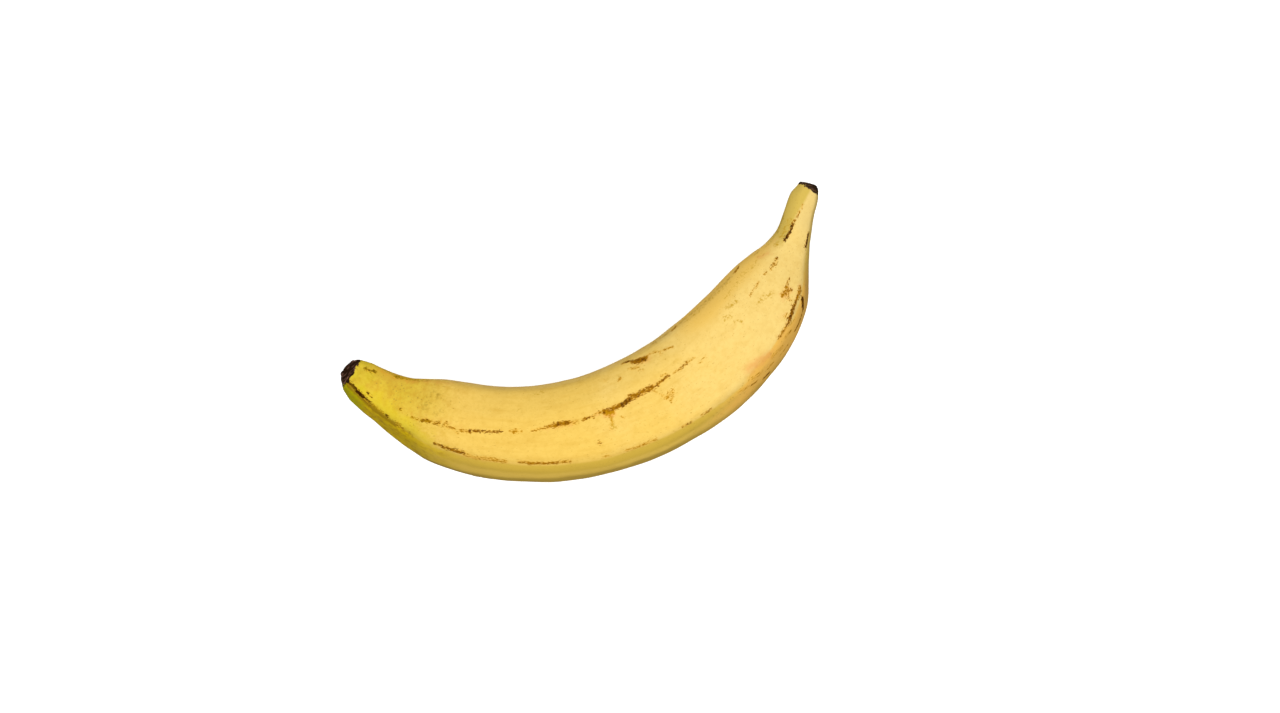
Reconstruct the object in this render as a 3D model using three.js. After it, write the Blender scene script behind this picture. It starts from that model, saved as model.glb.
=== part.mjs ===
// Plantain: one grown fruit that lies on its side on a flat surface.
// Millimetres, +Z up. +X runs from the blossom end to the cut stem, +Y is the hollow side of the
// bend, and z = 0 is the surface, which the fruit meets under its belly and under both shoulders.
// The body is a loft: rounded five-cornered sections that stand square to a bent middle line.
import * as THREE from "three";

// The bend, seen from above.
const LENGTH = 272; // along the middle line, from the blossom scar to the cut stem
const TURN = 129; // degrees that the middle line turns from one end to the other
const END_TURN = 9; // the share of TURN that gathers towards the two ends
const SWAY = 1.4; // degrees by which the bend leans towards the blossom end
const PATH_STEPS = 2000; // steps in which the middle line is added up

// The section along the fruit. Each row holds
//   the distance from the blossom scar,
//   the reach to the hollow side and to the belly side of the middle line,
//   the depth from underside to top,
//   the height of the middle line over the surface,
//   how cornered the section is, from 0, an oval, to 1, a clear five-sided shape.
const SECTIONS = [
  [0, 4.4, 5.3, 9.0, 13.0, 0.7],
  [1, 5.4, 6.4, 11.0, 13.1, 0.72],
  [2.5, 6.6, 7.5, 13.0, 13.2, 0.76],
  [4, 7.3, 9.0, 14.3, 13.4, 0.82],
  [6, 8.1, 9.8, 15.6, 13.5, 0.86],
  [9, 9.0, 10.9, 17.2, 13.8, 0.92],
  [12, 9.5, 11.3, 18.5, 14.0, 0.96],
  [16, 10.3, 11.9, 20.0, 14.4, 1],
  [22, 11.6, 12.75, 22.0, 14.9, 1],
  [28, 13.1, 14.05, 24.5, 15.5, 0.98],
  [34, 15.3, 15.45, 27.5, 16.3, 0.94],
  [40, 17.4, 17.1, 30.8, 17.0, 0.9],
  [46, 18.9, 18.75, 34.0, 17.9, 0.86],
  [54, 19.9, 19.8, 37.0, 18.8, 0.8],
  [62, 20.6, 20.45, 39.0, 19.5, 0.76],
  [88, 21.5, 21.7, 42.0, 21.5, 0.7],
  [122, 22.7, 23.1, 44.6, 22.4, 0.7],
  [148, 23.8, 23.6, 45.2, 22.7, 0.72],
  [172, 23.7, 23.9, 44.8, 22.8, 0.72],
  [194, 22.6, 23.1, 42.6, 21.6, 0.72],
  [210, 21.0, 21.6, 39.0, 19.6, 0.74],
  [222, 18.6, 18.8, 34.0, 18.2, 0.76],
  [232, 15.0, 14.0, 27.5, 17.1, 0.8],
  [240, 11.0, 10.3, 22.0, 16.3, 0.82],
  [248, 8.2, 8.1, 17.5, 15.6, 0.84],
  [258, 6.7, 7.2, 14.5, 14.9, 0.86],
  [266, 5.1, 7.8, 13.2, 14.4, 0.84],
  [269, 3.3, 7.6, 12.4, 14.2, 0.8],
  [271, 2.1, 7.2, 11.4, 14.1, 0.78],
  [LENGTH, 1.5, 6.5, 10.4, 14.0, 0.76],
];

// The five ridges that run the length of the fruit: degrees from straight up, positive to the
// hollow side, at the places of RIDGE_PLACES.
const RIDGE_PLACES = [0, 20, 50, 90, 122, 165, 204, 229, 253, LENGTH];
const RIDGES = [
  [-34, -32, -30, -31, -32, -31, -31.5, -35, -42, -41], // low on the belly side of the top
  [-8, -7, -3, 6, 12, 18, 20, 18, 14, 16], // along the top
  [62, 62, 62, 62, 62, 62, 62, 64, 66, 66], // above the hollow side
  [150, 146, 140, 136, 136, 136, 136, 138, 140, 140], // below the hollow side
  [246, 244, 236, 228, 224, 222, 222, 224, 226, 226], // under the belly
];
const CORNER_POWER = 9; // how tightly the ridges are rounded: more is tighter
const MEAN_CORNERED = 0.88; // mean reach of a full five-sided section whose corners reach to 1

// The stem is cut askew: its hollow side stands further out than its belly side.
const CUT_ANGLE = 10; // degrees off square
const CUT_BLEND = 12; // length of stem over which the sections lean over to the cut

const BLOSSOM_BULGE = 1.1; // how far the middle of the blossom scar stands out from its rim

// Rings of the mesh: from, to, how many.
const RING_SPANS = [
  [0, 6, 6],
  [6, 22, 7],
  [22, 210, 36],
  [210, 262, 19],
  [262, LENGTH, 6],
];
const RING_POINTS = 40;
const EXTENT_POINTS = 360; // points that measure how far a section reaches

const PEEL = new THREE.MeshStandardMaterial({ color: 0xe6c35a, roughness: 0.48, metalness: 0 });

const radians = THREE.MathUtils.degToRad;

/** A smooth curve through the points that never swings past them. */
function smoothCurve(places, values) {
  const last = places.length - 1;
  const gap = places.slice(1).map((place, i) => place - places[i]);
  const rise = gap.map((width, i) => (values[i + 1] - values[i]) / width);
  const slope = values.map((_, i) => {
    if (i === 0) return rise[0];
    if (i === last) return rise[last - 1];
    if (rise[i - 1] * rise[i] <= 0) return 0;
    const before = 2 * gap[i] + gap[i - 1];
    const after = gap[i] + 2 * gap[i - 1];
    return (before + after) / (before / rise[i - 1] + after / rise[i]);
  });
  return (at) => {
    let i = 0;
    while (i < last - 1 && at > places[i + 1]) i += 1;
    const t = (at - places[i]) / gap[i];
    const u = 1 - t;
    const ends = values[i] * (1 + 2 * t) * u * u + values[i + 1] * (3 - 2 * t) * t * t;
    return ends + gap[i] * t * u * (slope[i] * u - slope[i + 1] * t);
  };
}

const column = (index) => SECTIONS.map((row) => row[index]);
const [hollowReach, bellyReach, depth, height, cornered] = [1, 2, 3, 4, 5].map((index) =>
  smoothCurve(column(0), column(index)),
);
const ridgeAngles = RIDGES.map((angles) => smoothCurve(RIDGE_PLACES, angles));

/** Direction of the middle line seen from above, in radians from +X. */
function heading(along) {
  const u = (2 * along) / LENGTH - 1;
  const bend = ((TURN - END_TURN) / 2) * u + (END_TURN / 2) * u ** 3;
  return radians(bend + SWAY * (1 / 3 - u * u));
}

/** The middle line seen from above, added up from the heading. */
function middleLine() {
  const step = LENGTH / PATH_STEPS;
  const points = [new THREE.Vector2(0, 0)];
  for (let i = 0; i < PATH_STEPS; i += 1) {
    const turn = heading((i + 0.5) * step);
    const move = new THREE.Vector2(Math.cos(turn), Math.sin(turn)).multiplyScalar(step);
    points.push(points[i].clone().add(move));
  }
  return (along) => {
    const place = (along / LENGTH) * PATH_STEPS;
    const i = Math.min(Math.floor(place), PATH_STEPS - 1);
    return points[i].clone().lerp(points[i + 1], place - i);
  };
}

/**
 * Outline of the section as a function of the angle from straight up. The corners of a five-sided
 * shape stand on the ridges, at a reach of 1; its sides are then swollen and its corners rounded.
 */
function sectionOutline(along) {
  const ridges = ridgeAngles
    .map((angle) => THREE.MathUtils.euclideanModulo(radians(angle(along)), 2 * Math.PI))
    .sort((a, b) => a - b);
  const sides = ridges.map((ridge, i) => {
    const next = i + 1 < ridges.length ? ridges[i + 1] : ridges[0] + 2 * Math.PI;
    return { facing: (ridge + next) / 2, distance: Math.cos((next - ridge) / 2) };
  });
  return (angle) => {
    const sum = sides.reduce((total, { facing, distance }) => {
      const reach = Math.cos(angle - facing) / distance;
      return reach > 0 ? total + reach ** CORNER_POWER : total;
    }, 0);
    const fiveSided = sum ** (-1 / CORNER_POWER) / MEAN_CORNERED;
    const radius = THREE.MathUtils.lerp(1, fiveSided, cornered(along));
    return { across: radius * Math.sin(angle), up: radius * Math.cos(angle) };
  };
}

/** Lowest and highest values that an outline takes, across and up. */
function extents(outline) {
  const points = Array.from({ length: EXTENT_POINTS }, (_, i) =>
    outline((i / EXTENT_POINTS) * 2 * Math.PI),
  );
  const range = (key) => {
    const values = points.map((point) => point[key]);
    return [Math.min(...values), Math.max(...values)];
  };
  return { across: range("across"), up: range("up") };
}

/** The points of one ring, around the middle line at the given distance. */
function ring(along, lineAt) {
  const outline = sectionOutline(along);
  const size = extents(outline);
  const turn = heading(along);
  const nudge = 0.01;
  const rise = (height(along + nudge) - height(along - nudge)) / (2 * nudge);
  const forward = new THREE.Vector3(Math.cos(turn), Math.sin(turn), rise).normalize();
  const hollow = new THREE.Vector3(-Math.sin(turn), Math.cos(turn), 0);
  const top = new THREE.Vector3().crossVectors(forward, hollow);
  const centre = lineAt(along);
  const width = hollowReach(along) + bellyReach(along);
  const cutShare = THREE.MathUtils.clamp((along - LENGTH + CUT_BLEND) / CUT_BLEND, 0, 1);
  const lean = cutShare * Math.tan(radians(CUT_ANGLE));
  return Array.from({ length: RING_POINTS }, (_, i) => {
    const point = outline((i / RING_POINTS) * 2 * Math.PI);
    const acrossShare = (point.across - size.across[0]) / (size.across[1] - size.across[0]);
    const upShare = (point.up - size.up[0]) / (size.up[1] - size.up[0]);
    const across = acrossShare * width - bellyReach(along);
    return new THREE.Vector3(centre.x, centre.y, height(along))
      .addScaledVector(hollow, across)
      .addScaledVector(top, (upShare - 0.5) * depth(along))
      .addScaledVector(forward, across * lean);
  });
}

/** Distances of all rings from the blossom scar. */
function ringPlaces() {
  const places = RING_SPANS.flatMap(([from, to, count]) =>
    Array.from({ length: count }, (_, i) => from + ((to - from) * i) / count),
  );
  return [...places, LENGTH];
}

/** Middle of a ring, where the fan of triangles that closes an end meets. */
function ringCentre(points) {
  const sum = points.reduce((total, point) => total.add(point), new THREE.Vector3());
  return sum.divideScalar(points.length);
}

/** The whole skin: bands between the rings, and a fan over each end. */
function fruitGeometry() {
  const lineAt = middleLine();
  const rings = ringPlaces().map((along) => ring(along, lineAt));
  const blossomOut = new THREE.Vector3(Math.cos(heading(0)), Math.sin(heading(0)), 0);
  const ends = [
    ringCentre(rings[0]).addScaledVector(blossomOut, -BLOSSOM_BULGE),
    ringCentre(rings[rings.length - 1]),
  ];
  const at = (row, i) => row * RING_POINTS + (i % RING_POINTS);
  const blossomCentre = rings.length * RING_POINTS;
  const lastRow = rings.length - 1;
  const faces = [];
  for (let i = 0; i < RING_POINTS; i += 1) {
    for (let row = 0; row < lastRow; row += 1) {
      faces.push(at(row, i), at(row + 1, i + 1), at(row, i + 1));
      faces.push(at(row, i), at(row + 1, i), at(row + 1, i + 1));
    }
    faces.push(blossomCentre, at(0, i), at(0, i + 1));
    faces.push(blossomCentre + 1, at(lastRow, i + 1), at(lastRow, i));
  }
  const geometry = new THREE.BufferGeometry().setFromPoints([...rings.flat(), ...ends]);
  geometry.setIndex(faces);
  geometry.computeVertexNormals();
  return geometry;
}

/** Moves the origin to the middle of the box that holds the fruit, at the level of the surface. */
function standOnOrigin(geometry) {
  geometry.computeBoundingBox();
  const box = geometry.boundingBox;
  const middle = box.getCenter(new THREE.Vector3());
  return geometry.translate(-middle.x, -middle.y, -box.min.z);
}

const fruit = new THREE.Mesh(standOnOrigin(fruitGeometry()), PEEL);
fruit.name = "plantain";

const plantain = new THREE.Group();
plantain.add(fruit);

export default plantain;
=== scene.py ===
"""The looks of a plantain that lies on its side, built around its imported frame.

The fruit is one grown piece, so one mesh stands for it. Its sizes below are millimetres and degrees,
and the mesh is in metres. A place on the fruit is given by how far it is along the middle line from
the blossom scar, and by how far it is across that line, seen from above: positive to the hollow side
of the bend and negative to the belly side.
"""

import logging
import math
from dataclasses import dataclass, fields
from enum import Enum

import bpy
import numpy as np
from mathutils import Matrix, Vector, noise


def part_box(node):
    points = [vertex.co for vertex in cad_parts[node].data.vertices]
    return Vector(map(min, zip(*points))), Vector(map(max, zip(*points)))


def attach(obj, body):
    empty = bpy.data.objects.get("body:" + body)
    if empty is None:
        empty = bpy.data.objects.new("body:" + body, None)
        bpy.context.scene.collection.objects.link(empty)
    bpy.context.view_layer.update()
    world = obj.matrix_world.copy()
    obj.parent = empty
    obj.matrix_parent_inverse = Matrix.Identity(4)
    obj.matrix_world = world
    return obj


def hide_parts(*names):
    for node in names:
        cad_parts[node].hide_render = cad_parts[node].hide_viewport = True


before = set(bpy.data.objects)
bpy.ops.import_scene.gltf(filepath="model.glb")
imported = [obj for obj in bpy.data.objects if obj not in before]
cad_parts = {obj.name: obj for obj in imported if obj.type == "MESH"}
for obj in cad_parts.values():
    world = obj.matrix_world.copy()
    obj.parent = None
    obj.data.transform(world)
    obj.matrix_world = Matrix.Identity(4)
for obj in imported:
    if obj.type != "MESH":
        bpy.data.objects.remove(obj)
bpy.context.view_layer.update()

LOG = logging.getLogger("plantain")
MM = 0.001
TURN_ROUND = 2.0 * math.pi
EDGE = 0.5  # the value of a mark or of an area at its edge

Input = float | int | tuple | bpy.types.NodeSocket


# ---------------------------------------------------------------------------------------------
# Small tools
# ---------------------------------------------------------------------------------------------


def linear(hex_colour: str) -> tuple[float, float, float, float]:
    """Turns an sRGB hex colour into the linear colour that a shader takes.

    Args:
        hex_colour: six hex digits, such as "e6c35a".

    Returns:
        Linear red, green, blue and an alpha of 1.
    """
    parts = [int(hex_colour[i : i + 2], 16) / 255.0 for i in (0, 2, 4)]
    red, green, blue = [c / 12.92 if c <= 0.04045 else ((c + 0.055) / 1.055) ** 2.4 for c in parts]
    return (red, green, blue, 1.0)


def smooth_curve(places: np.ndarray, values: np.ndarray, at: np.ndarray) -> np.ndarray:
    """Follows a smooth curve through some points without swinging past them.

    Args:
        places: rising places of the points.
        values: the curve's value at each place.
        at: places to read the curve at.

    Returns:
        The curve's values there.
    """
    gap = np.diff(places)
    rise = np.diff(values) / gap
    before = 2.0 * gap[1:] + gap[:-1]
    after = gap[1:] + 2.0 * gap[:-1]
    same_way = rise[:-1] * rise[1:] > 0.0
    safe_low = np.where(same_way, rise[:-1], 1.0)
    safe_high = np.where(same_way, rise[1:], 1.0)
    inner = np.where(same_way, (before + after) / (before / safe_low + after / safe_high), 0.0)
    slope = np.concatenate([[rise[0]], inner, [rise[-1]]])
    i = np.clip(np.searchsorted(places, at, side="right") - 1, 0, len(gap) - 1)
    t = (at - places[i]) / gap[i]
    u = 1.0 - t
    ends = values[i] * (1.0 + 2.0 * t) * u * u + values[i + 1] * (3.0 - 2.0 * t) * t * t
    return ends + gap[i] * t * u * (slope[i] * u - slope[i + 1] * t)


def soft_step(low: float, high: float, at: np.ndarray) -> np.ndarray:
    """Rises smoothly from 0 at low to 1 at high.

    Args:
        low: where the rise starts.
        high: where it ends, which may be below low for a fall.
        at: where to read it.

    Returns:
        Values from 0 to 1.
    """
    t = np.clip((at - low) / (high - low), 0.0, 1.0)
    return t * t * (3.0 - 2.0 * t)


def at_least(low: float, share: np.ndarray) -> np.ndarray:
    """Squeezes values from 0 to 1 into low to 1."""
    return low + (1.0 - low) * share


@dataclass(frozen=True)
class Stretch:
    """A stretch that comes in over its rise and goes out over its fall, both in millimetres."""

    rise: tuple[float, float] | None = None  # without one it is there from the start
    fall: tuple[float, float] | None = None  # without one it is there to the end
    top: float = 1.0

    def at(self, place: np.ndarray) -> np.ndarray:
        """Reads the stretch.

        Args:
            place: where to read it.

        Returns:
            Values from 0 outside to top inside.
        """
        inside = np.ones_like(place)
        if self.rise:
            inside = soft_step(self.rise[0], self.rise[1], place)
        if self.fall:
            inside = inside * soft_step(self.fall[1], self.fall[0], place)
        return self.top * inside


@dataclass(frozen=True)
class Lumps:
    """Smooth solid noise."""

    height: float  # about how far it swings to either side of 0
    size: float  # the width of its largest lumps
    octaves: int  # how many finer layers are added
    seed: float  # shifts the pattern to another one
    smoothness: float = 1.0  # more makes the finer layers fainter
    step: float = 2.0  # how much finer each layer is than the one before

    def at(self, points: np.ndarray) -> np.ndarray:
        """Reads the noise.

        Args:
            points: places in millimetres, one row each.

        Returns:
            Values around 0.
        """
        shift = Vector((self.seed, 2.0 * self.seed, 3.0 * self.seed))
        places = [Vector(point) + shift for point in points / self.size]
        values = [noise.fractal(place, self.smoothness, self.step, self.octaves) for place in places]
        return self.height * np.array(values)


def add_node(
    tree: bpy.types.NodeTree,
    kind: str,
    settings: dict[str, object] | None = None,
    inputs: dict[str | int, Input] | None = None,
) -> bpy.types.Node:
    """Adds one node with its settings and links.

    Args:
        tree: the node tree that takes it.
        kind: the node's type, such as "ShaderNodeMath".
        settings: the node's own properties.
        inputs: for each input, by name or place, a value or another node's output to link.

    Returns:
        The new node.
    """
    node = tree.nodes.new(kind)
    for name, value in (settings or {}).items():
        setattr(node, name, value)
    for key, value in (inputs or {}).items():
        if isinstance(value, bpy.types.NodeSocket):
            tree.links.new(value, node.inputs[key])
        else:
            node.inputs[key].default_value = value
    return node


# ---------------------------------------------------------------------------------------------
# Shape of the fruit
# ---------------------------------------------------------------------------------------------


@dataclass(frozen=True)
class Bend:
    """The middle line of the fruit, seen from above."""

    length: float = 272.0  # from the blossom scar to the cut stem
    turn: float = 129.0  # degrees from one end to the other
    end_turn: float = 9.0  # the share of turn that gathers towards the ends
    sway: float = 1.4  # degrees by which the bend leans to the blossom end
    steps: int = 2000

    def heading(self, along: np.ndarray) -> np.ndarray:
        """Finds which way the middle line runs.

        Args:
            along: distances from the blossom scar.

        Returns:
            Radians from +X.
        """
        u = 2.0 * along / self.length - 1.0
        bend = (self.turn - self.end_turn) / 2.0 * u + self.end_turn / 2.0 * u**3
        return np.radians(bend + self.sway * (1.0 / 3.0 - u * u))

    def place(self, along: np.ndarray) -> tuple[np.ndarray, np.ndarray]:
        """Finds where the middle line is.

        Args:
            along: distances from the blossom scar.

        Returns:
            X and Y there, counted from the blossom scar.
        """
        step = self.length / self.steps
        turns = self.heading((np.arange(self.steps) + 0.5) * step)
        stops = np.arange(self.steps + 1) * step
        x = np.concatenate([[0.0], np.cumsum(np.cos(turns)) * step])
        y = np.concatenate([[0.0], np.cumsum(np.sin(turns)) * step])
        return np.interp(along, stops, x), np.interp(along, stops, y)


@dataclass(frozen=True)
class Section:
    """The fruit's cross-section at one place along it."""

    along: float  # distance from the blossom scar
    hollow: float  # reach from the middle line to the hollow side
    belly: float  # reach to the belly side
    depth: float  # from the underside to the top
    height: float  # of the middle line over the surface
    cornered: float  # 0 for an oval, 1 for a clear five-sided shape


SECTIONS = (
    Section(0, 4.4, 5.3, 9.0, 13.0, 0.70),
    Section(1, 5.4, 6.4, 11.0, 13.1, 0.72),
    Section(2.5, 6.6, 7.5, 13.0, 13.2, 0.76),
    Section(4, 7.3, 9.0, 14.3, 13.4, 0.82),
    Section(6, 8.1, 9.8, 15.6, 13.5, 0.86),
    Section(9, 9.0, 10.9, 17.2, 13.8, 0.92),
    Section(12, 9.5, 11.3, 18.5, 14.0, 0.96),
    Section(16, 10.3, 11.9, 20.0, 14.4, 1.00),
    Section(22, 11.6, 12.75, 22.0, 14.9, 1.00),
    Section(28, 13.1, 14.05, 24.5, 15.5, 0.98),
    Section(34, 15.3, 15.45, 27.5, 16.3, 0.94),
    Section(40, 17.4, 17.1, 30.8, 17.0, 0.90),
    Section(46, 18.9, 18.75, 34.0, 17.9, 0.86),
    Section(54, 19.9, 19.8, 37.0, 18.8, 0.80),
    Section(62, 20.6, 20.45, 39.0, 19.5, 0.76),
    Section(88, 21.5, 21.7, 42.0, 21.5, 0.70),
    Section(122, 22.7, 23.1, 44.6, 22.4, 0.70),
    Section(148, 23.8, 23.6, 45.2, 22.7, 0.72),
    Section(172, 23.7, 23.9, 44.8, 22.8, 0.72),
    Section(194, 22.6, 23.1, 42.6, 21.6, 0.72),
    Section(210, 21.0, 21.6, 39.0, 19.6, 0.74),
    Section(222, 18.6, 18.8, 34.0, 18.2, 0.76),
    Section(232, 15.0, 14.0, 27.5, 17.1, 0.80),
    Section(240, 11.0, 10.3, 22.0, 16.3, 0.82),
    Section(248, 8.2, 8.1, 17.5, 15.6, 0.84),
    Section(258, 6.7, 7.2, 14.5, 14.9, 0.86),
    Section(266, 5.1, 7.8, 13.2, 14.4, 0.84),
    Section(269, 3.3, 7.6, 12.4, 14.2, 0.80),
    Section(271, 2.1, 7.2, 11.4, 14.1, 0.78),
    Section(272, 1.5, 6.5, 10.4, 14.0, 0.76),
)


class Ridge(Enum):
    """The five ridges: degrees from straight up at the places of RIDGE_PLACES."""

    BELLY_TOP = (-34, -32, -30, -31, -32, -31, -31.5, -35, -42, -41)
    TOP = (-8, -7, -3, 6, 12, 18, 20, 18, 14, 16)
    HOLLOW_TOP = (62, 62, 62, 62, 62, 62, 62, 64, 66, 66)
    HOLLOW_UNDER = (150, 146, 140, 136, 136, 136, 136, 138, 140, 140)
    BELLY_UNDER = (246, 244, 236, 228, 224, 222, 222, 224, 226, 226)


RIDGE_PLACES = (0, 20, 50, 90, 122, 165, 204, 229, 253, 272)


class Place(Enum):
    """Which part of the skin a point is on."""

    SIDE = 0
    BLOSSOM_FACE = 1
    CUT_FACE = 2


@dataclass
class SkinPoints:
    """Points of the smooth skin, in rows and columns or, once joined, in one list."""

    along: np.ndarray  # distance from the blossom scar
    angle: np.ndarray  # radians from straight up
    share: np.ndarray  # 1 on the rim of an end face, 0 at its middle
    place: np.ndarray  # the value of its Place
    xyz: np.ndarray
    outward: np.ndarray  # the way a bump grows
    straight: np.ndarray  # where the point would be if the fruit were straight

    @classmethod
    def join(cls, patches: list["SkinPoints"]) -> "SkinPoints":
        """Puts several patches together.

        Args:
            patches: points in rows and columns.

        Returns:
            The same points in one list.
        """
        joined = {}
        for item in fields(cls):
            grids = [getattr(patch, item.name) for patch in patches]
            joined[item.name] = np.concatenate([grid.reshape(-1, *grid.shape[2:]) for grid in grids])
        return cls(**joined)

    def on(self, place: Place) -> np.ndarray:
        """Returns which points are on a part of the skin."""
        return self.place == place.value


@dataclass(frozen=True)
class FruitShape:
    """The smooth skin of the fruit, before any small relief."""

    bend: Bend = Bend()
    corner_power: float = 9.0  # more rounds the ridges more tightly
    mean_cornered: float = 0.88  # mean reach of a full five-sided section
    cut_angle: float = 10.0  # degrees by which the stem's cut is askew
    cut_blend: float = 12.0  # length of stem over which the sections lean to the cut
    blossom_bulge: float = 1.1  # how far the blossom scar's middle stands out from its rim
    extent_points: int = 180  # round a section, to find how wide and tall it is
    upper_reach: float = 100.0  # degrees from straight up that are looked through from above
    upper_points: int = 201
    view_rounds: int = 3  # of closing in on the point that is seen at a place

    def size(self, name: str, along: np.ndarray) -> np.ndarray:
        """Reads one of the section's sizes along the fruit.

        Args:
            name: a field of Section.
            along: distances from the blossom scar.

        Returns:
            The size there.
        """
        places = np.array([s.along for s in SECTIONS], float)
        values = np.array([getattr(s, name) for s in SECTIONS], float)
        return smooth_curve(places, values, along)

    def ridge_angle(self, ridge: Ridge, along: np.ndarray) -> np.ndarray:
        """Follows a ridge along the fruit.

        Args:
            ridge: which one.
            along: distances from the blossom scar.

        Returns:
            Radians from straight up, positive to the hollow side.
        """
        values = np.array(ridge.value, float)
        return np.radians(smooth_curve(np.array(RIDGE_PLACES, float), values, along))

    def rise(self, along: np.ndarray) -> np.ndarray:
        """Finds how steeply the middle line climbs.

        Args:
            along: distances from the blossom scar.

        Returns:
            The climb for each millimetre along.
        """
        half = 0.25
        climb = self.size("height", along + half) - self.size("height", along - half)
        return climb / (2.0 * half)

    def raw_outline(self, along: np.ndarray, angle: np.ndarray) -> tuple[np.ndarray, np.ndarray]:
        """Draws the sections at a reach of about 1.

        Args:
            along: distances from the blossom scar, one for each row of angle.
            angle: radians from straight up, a row for each section.

        Returns:
            How far each point is across and up.
        """
        ridges = np.stack([self.ridge_angle(ridge, along) for ridge in Ridge], axis=-1)
        ridges = np.sort(np.mod(ridges, TURN_ROUND), axis=-1)
        following = np.concatenate([ridges[:, 1:], ridges[:, :1] + TURN_ROUND], axis=-1)
        facing = (ridges + following) / 2.0
        distance = np.cos((following - ridges) / 2.0)
        reach = np.cos(angle[:, :, None] - facing[:, None, :]) / distance[:, None, :]
        total = np.sum(np.maximum(reach, 0.0) ** self.corner_power, axis=-1)
        five_sided = total ** (-1.0 / self.corner_power) / self.mean_cornered
        cornered = self.size("cornered", along)[:, None]
        radius = 1.0 + (five_sided - 1.0) * cornered
        return radius * np.sin(angle), radius * np.cos(angle)

    def outline(self, along: np.ndarray, angle: np.ndarray) -> tuple[np.ndarray, np.ndarray]:
        """Draws the sections at their real size.

        Args:
            along: distances from the blossom scar, one for each row of angle.
            angle: radians from straight up, a row for each section.

        Returns:
            Millimetres across, to the hollow side, and up, from the middle line.
        """
        every = np.linspace(0.0, TURN_ROUND, self.extent_points, endpoint=False)
        all_across, all_up = self.raw_outline(along, np.broadcast_to(every, (len(along), len(every))))
        low_across, low_up = all_across.min(1)[:, None], all_up.min(1)[:, None]
        wide, tall = np.ptp(all_across, 1)[:, None], np.ptp(all_up, 1)[:, None]
        across, up = self.raw_outline(along, angle)
        belly = self.size("belly", along)[:, None]
        width = self.size("hollow", along)[:, None] + belly
        depth = self.size("depth", along)[:, None]
        return (across - low_across) / wide * width - belly, ((up - low_up) / tall - 0.5) * depth

    def points(self, along: np.ndarray, angle: np.ndarray) -> np.ndarray:
        """Finds points of the skin.

        Args:
            along: distances from the blossom scar, one for each row of angle.
            angle: radians from straight up, a row for each section.

        Returns:
            X, Y and Z, counted from the blossom scar and the surface, for every angle.
        """
        across, up = self.outline(along, angle)
        turn = self.bend.heading(along)
        x, y = self.bend.place(along)
        height = self.size("height", along)
        forward = np.stack([np.cos(turn), np.sin(turn), self.rise(along)], axis=-1)
        forward /= np.linalg.norm(forward, axis=-1, keepdims=True)
        hollow = np.stack([-np.sin(turn), np.cos(turn), np.zeros_like(turn)], axis=-1)
        top = np.cross(forward, hollow)
        start = self.bend.length - self.cut_blend
        lean = np.clip((along - start) / self.cut_blend, 0.0, 1.0) * math.tan(math.radians(self.cut_angle))
        centre = np.stack([x, y, height], axis=-1)
        return (
            centre[:, None, :]
            + across[:, :, None] * hollow[:, None, :]
            + up[:, :, None] * top[:, None, :]
            + (across * lean[:, None])[:, :, None] * forward[:, None, :]
        )

    def past(self, skin: SkinPoints, ridge: Ridge) -> np.ndarray:
        """Measures round the skin from a ridge.

        Args:
            skin: the smooth skin's points.
            ridge: where the measure starts.

        Returns:
            Millimetres to the hollow side of it, negative to the belly side.
        """
        away = skin.angle - self.ridge_angle(ridge, skin.along)
        away = (away + math.pi) % TURN_ROUND - math.pi
        return away * np.hypot(skin.straight[:, 1], skin.straight[:, 2])

    def angle_over(self, along: np.ndarray, across: np.ndarray) -> np.ndarray:
        """Finds the angle of the point of the upper skin that is seen at a place across.

        Args:
            along: distances from the blossom scar.
            across: millimetres across the middle line at each, seen from above.

        Returns:
            Radians from straight up.
        """
        upper = np.radians(np.linspace(-self.upper_reach, self.upper_reach, self.upper_points))
        seen, _ = self.outline(along, np.broadcast_to(upper, (len(along), len(upper))))
        rows = []
        for row, want in zip(seen, across, strict=True):
            first, last = int(np.argmin(row)), int(np.argmax(row))
            rows.append(np.interp(want, row[first : last + 1], upper[first : last + 1]))
        return np.array(rows)

    def seen_place(self, along: np.ndarray, across: np.ndarray) -> tuple[np.ndarray, np.ndarray]:
        """Finds the section and the angle of what is seen from above at a place.

        A section leans with the climb of the middle line, so its top isn't right above its middle.

        Args:
            along: distances from the blossom scar, seen from above.
            across: millimetres across the middle line at each.

        Returns:
            The section's own distance from the blossom scar, and radians from straight up.
        """
        row, angle = along, self.angle_over(along, across)
        for _ in range(self.view_rounds):
            _, up = self.outline(row, angle[:, None])
            row = np.clip(along + self.rise(row) * up[:, 0], 0.0, self.bend.length)
            angle = self.angle_over(row, across)
        return row, angle


# ---------------------------------------------------------------------------------------------
# Marks on the peel
# ---------------------------------------------------------------------------------------------


class MarkKind(Enum):
    """What a mark is: the name of the mesh attribute that holds it and how soft its edge is."""

    SCAR = ("scar", 1.5)  # corky and brown, where the skin was rubbed or split
    STAIN = ("stain", 4.0)  # a warm bruise under sound skin
    SMUDGE = ("smudge", 3.0)  # a rub that left fine brown flecks
    SEAM = ("seam", 2.0)  # an olive-brown line where a ridge darkened

    def __init__(self, attribute: str, fade: float) -> None:
        """Keeps the attribute's name and the millimetres over which the mark fades."""
        self.attribute = attribute
        self.fade = fade


class Reading(Enum):
    """How the second number of a mark's places is read."""

    ACROSS = "millimetres across, as seen from above"
    ROUND = "degrees from straight up"


@dataclass(frozen=True)
class Mark:
    """One mark that growth, handling or time left on the peel."""

    kind: MarkKind
    reading: Reading
    path: tuple[tuple[float, float], ...]
    width: float
    strength: float  # below 1 a mark breaks into dashes, and near 0.5 into specks
    tone: float = 0.5  # of a scar: 0 is light brown and 1 nearly black


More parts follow.
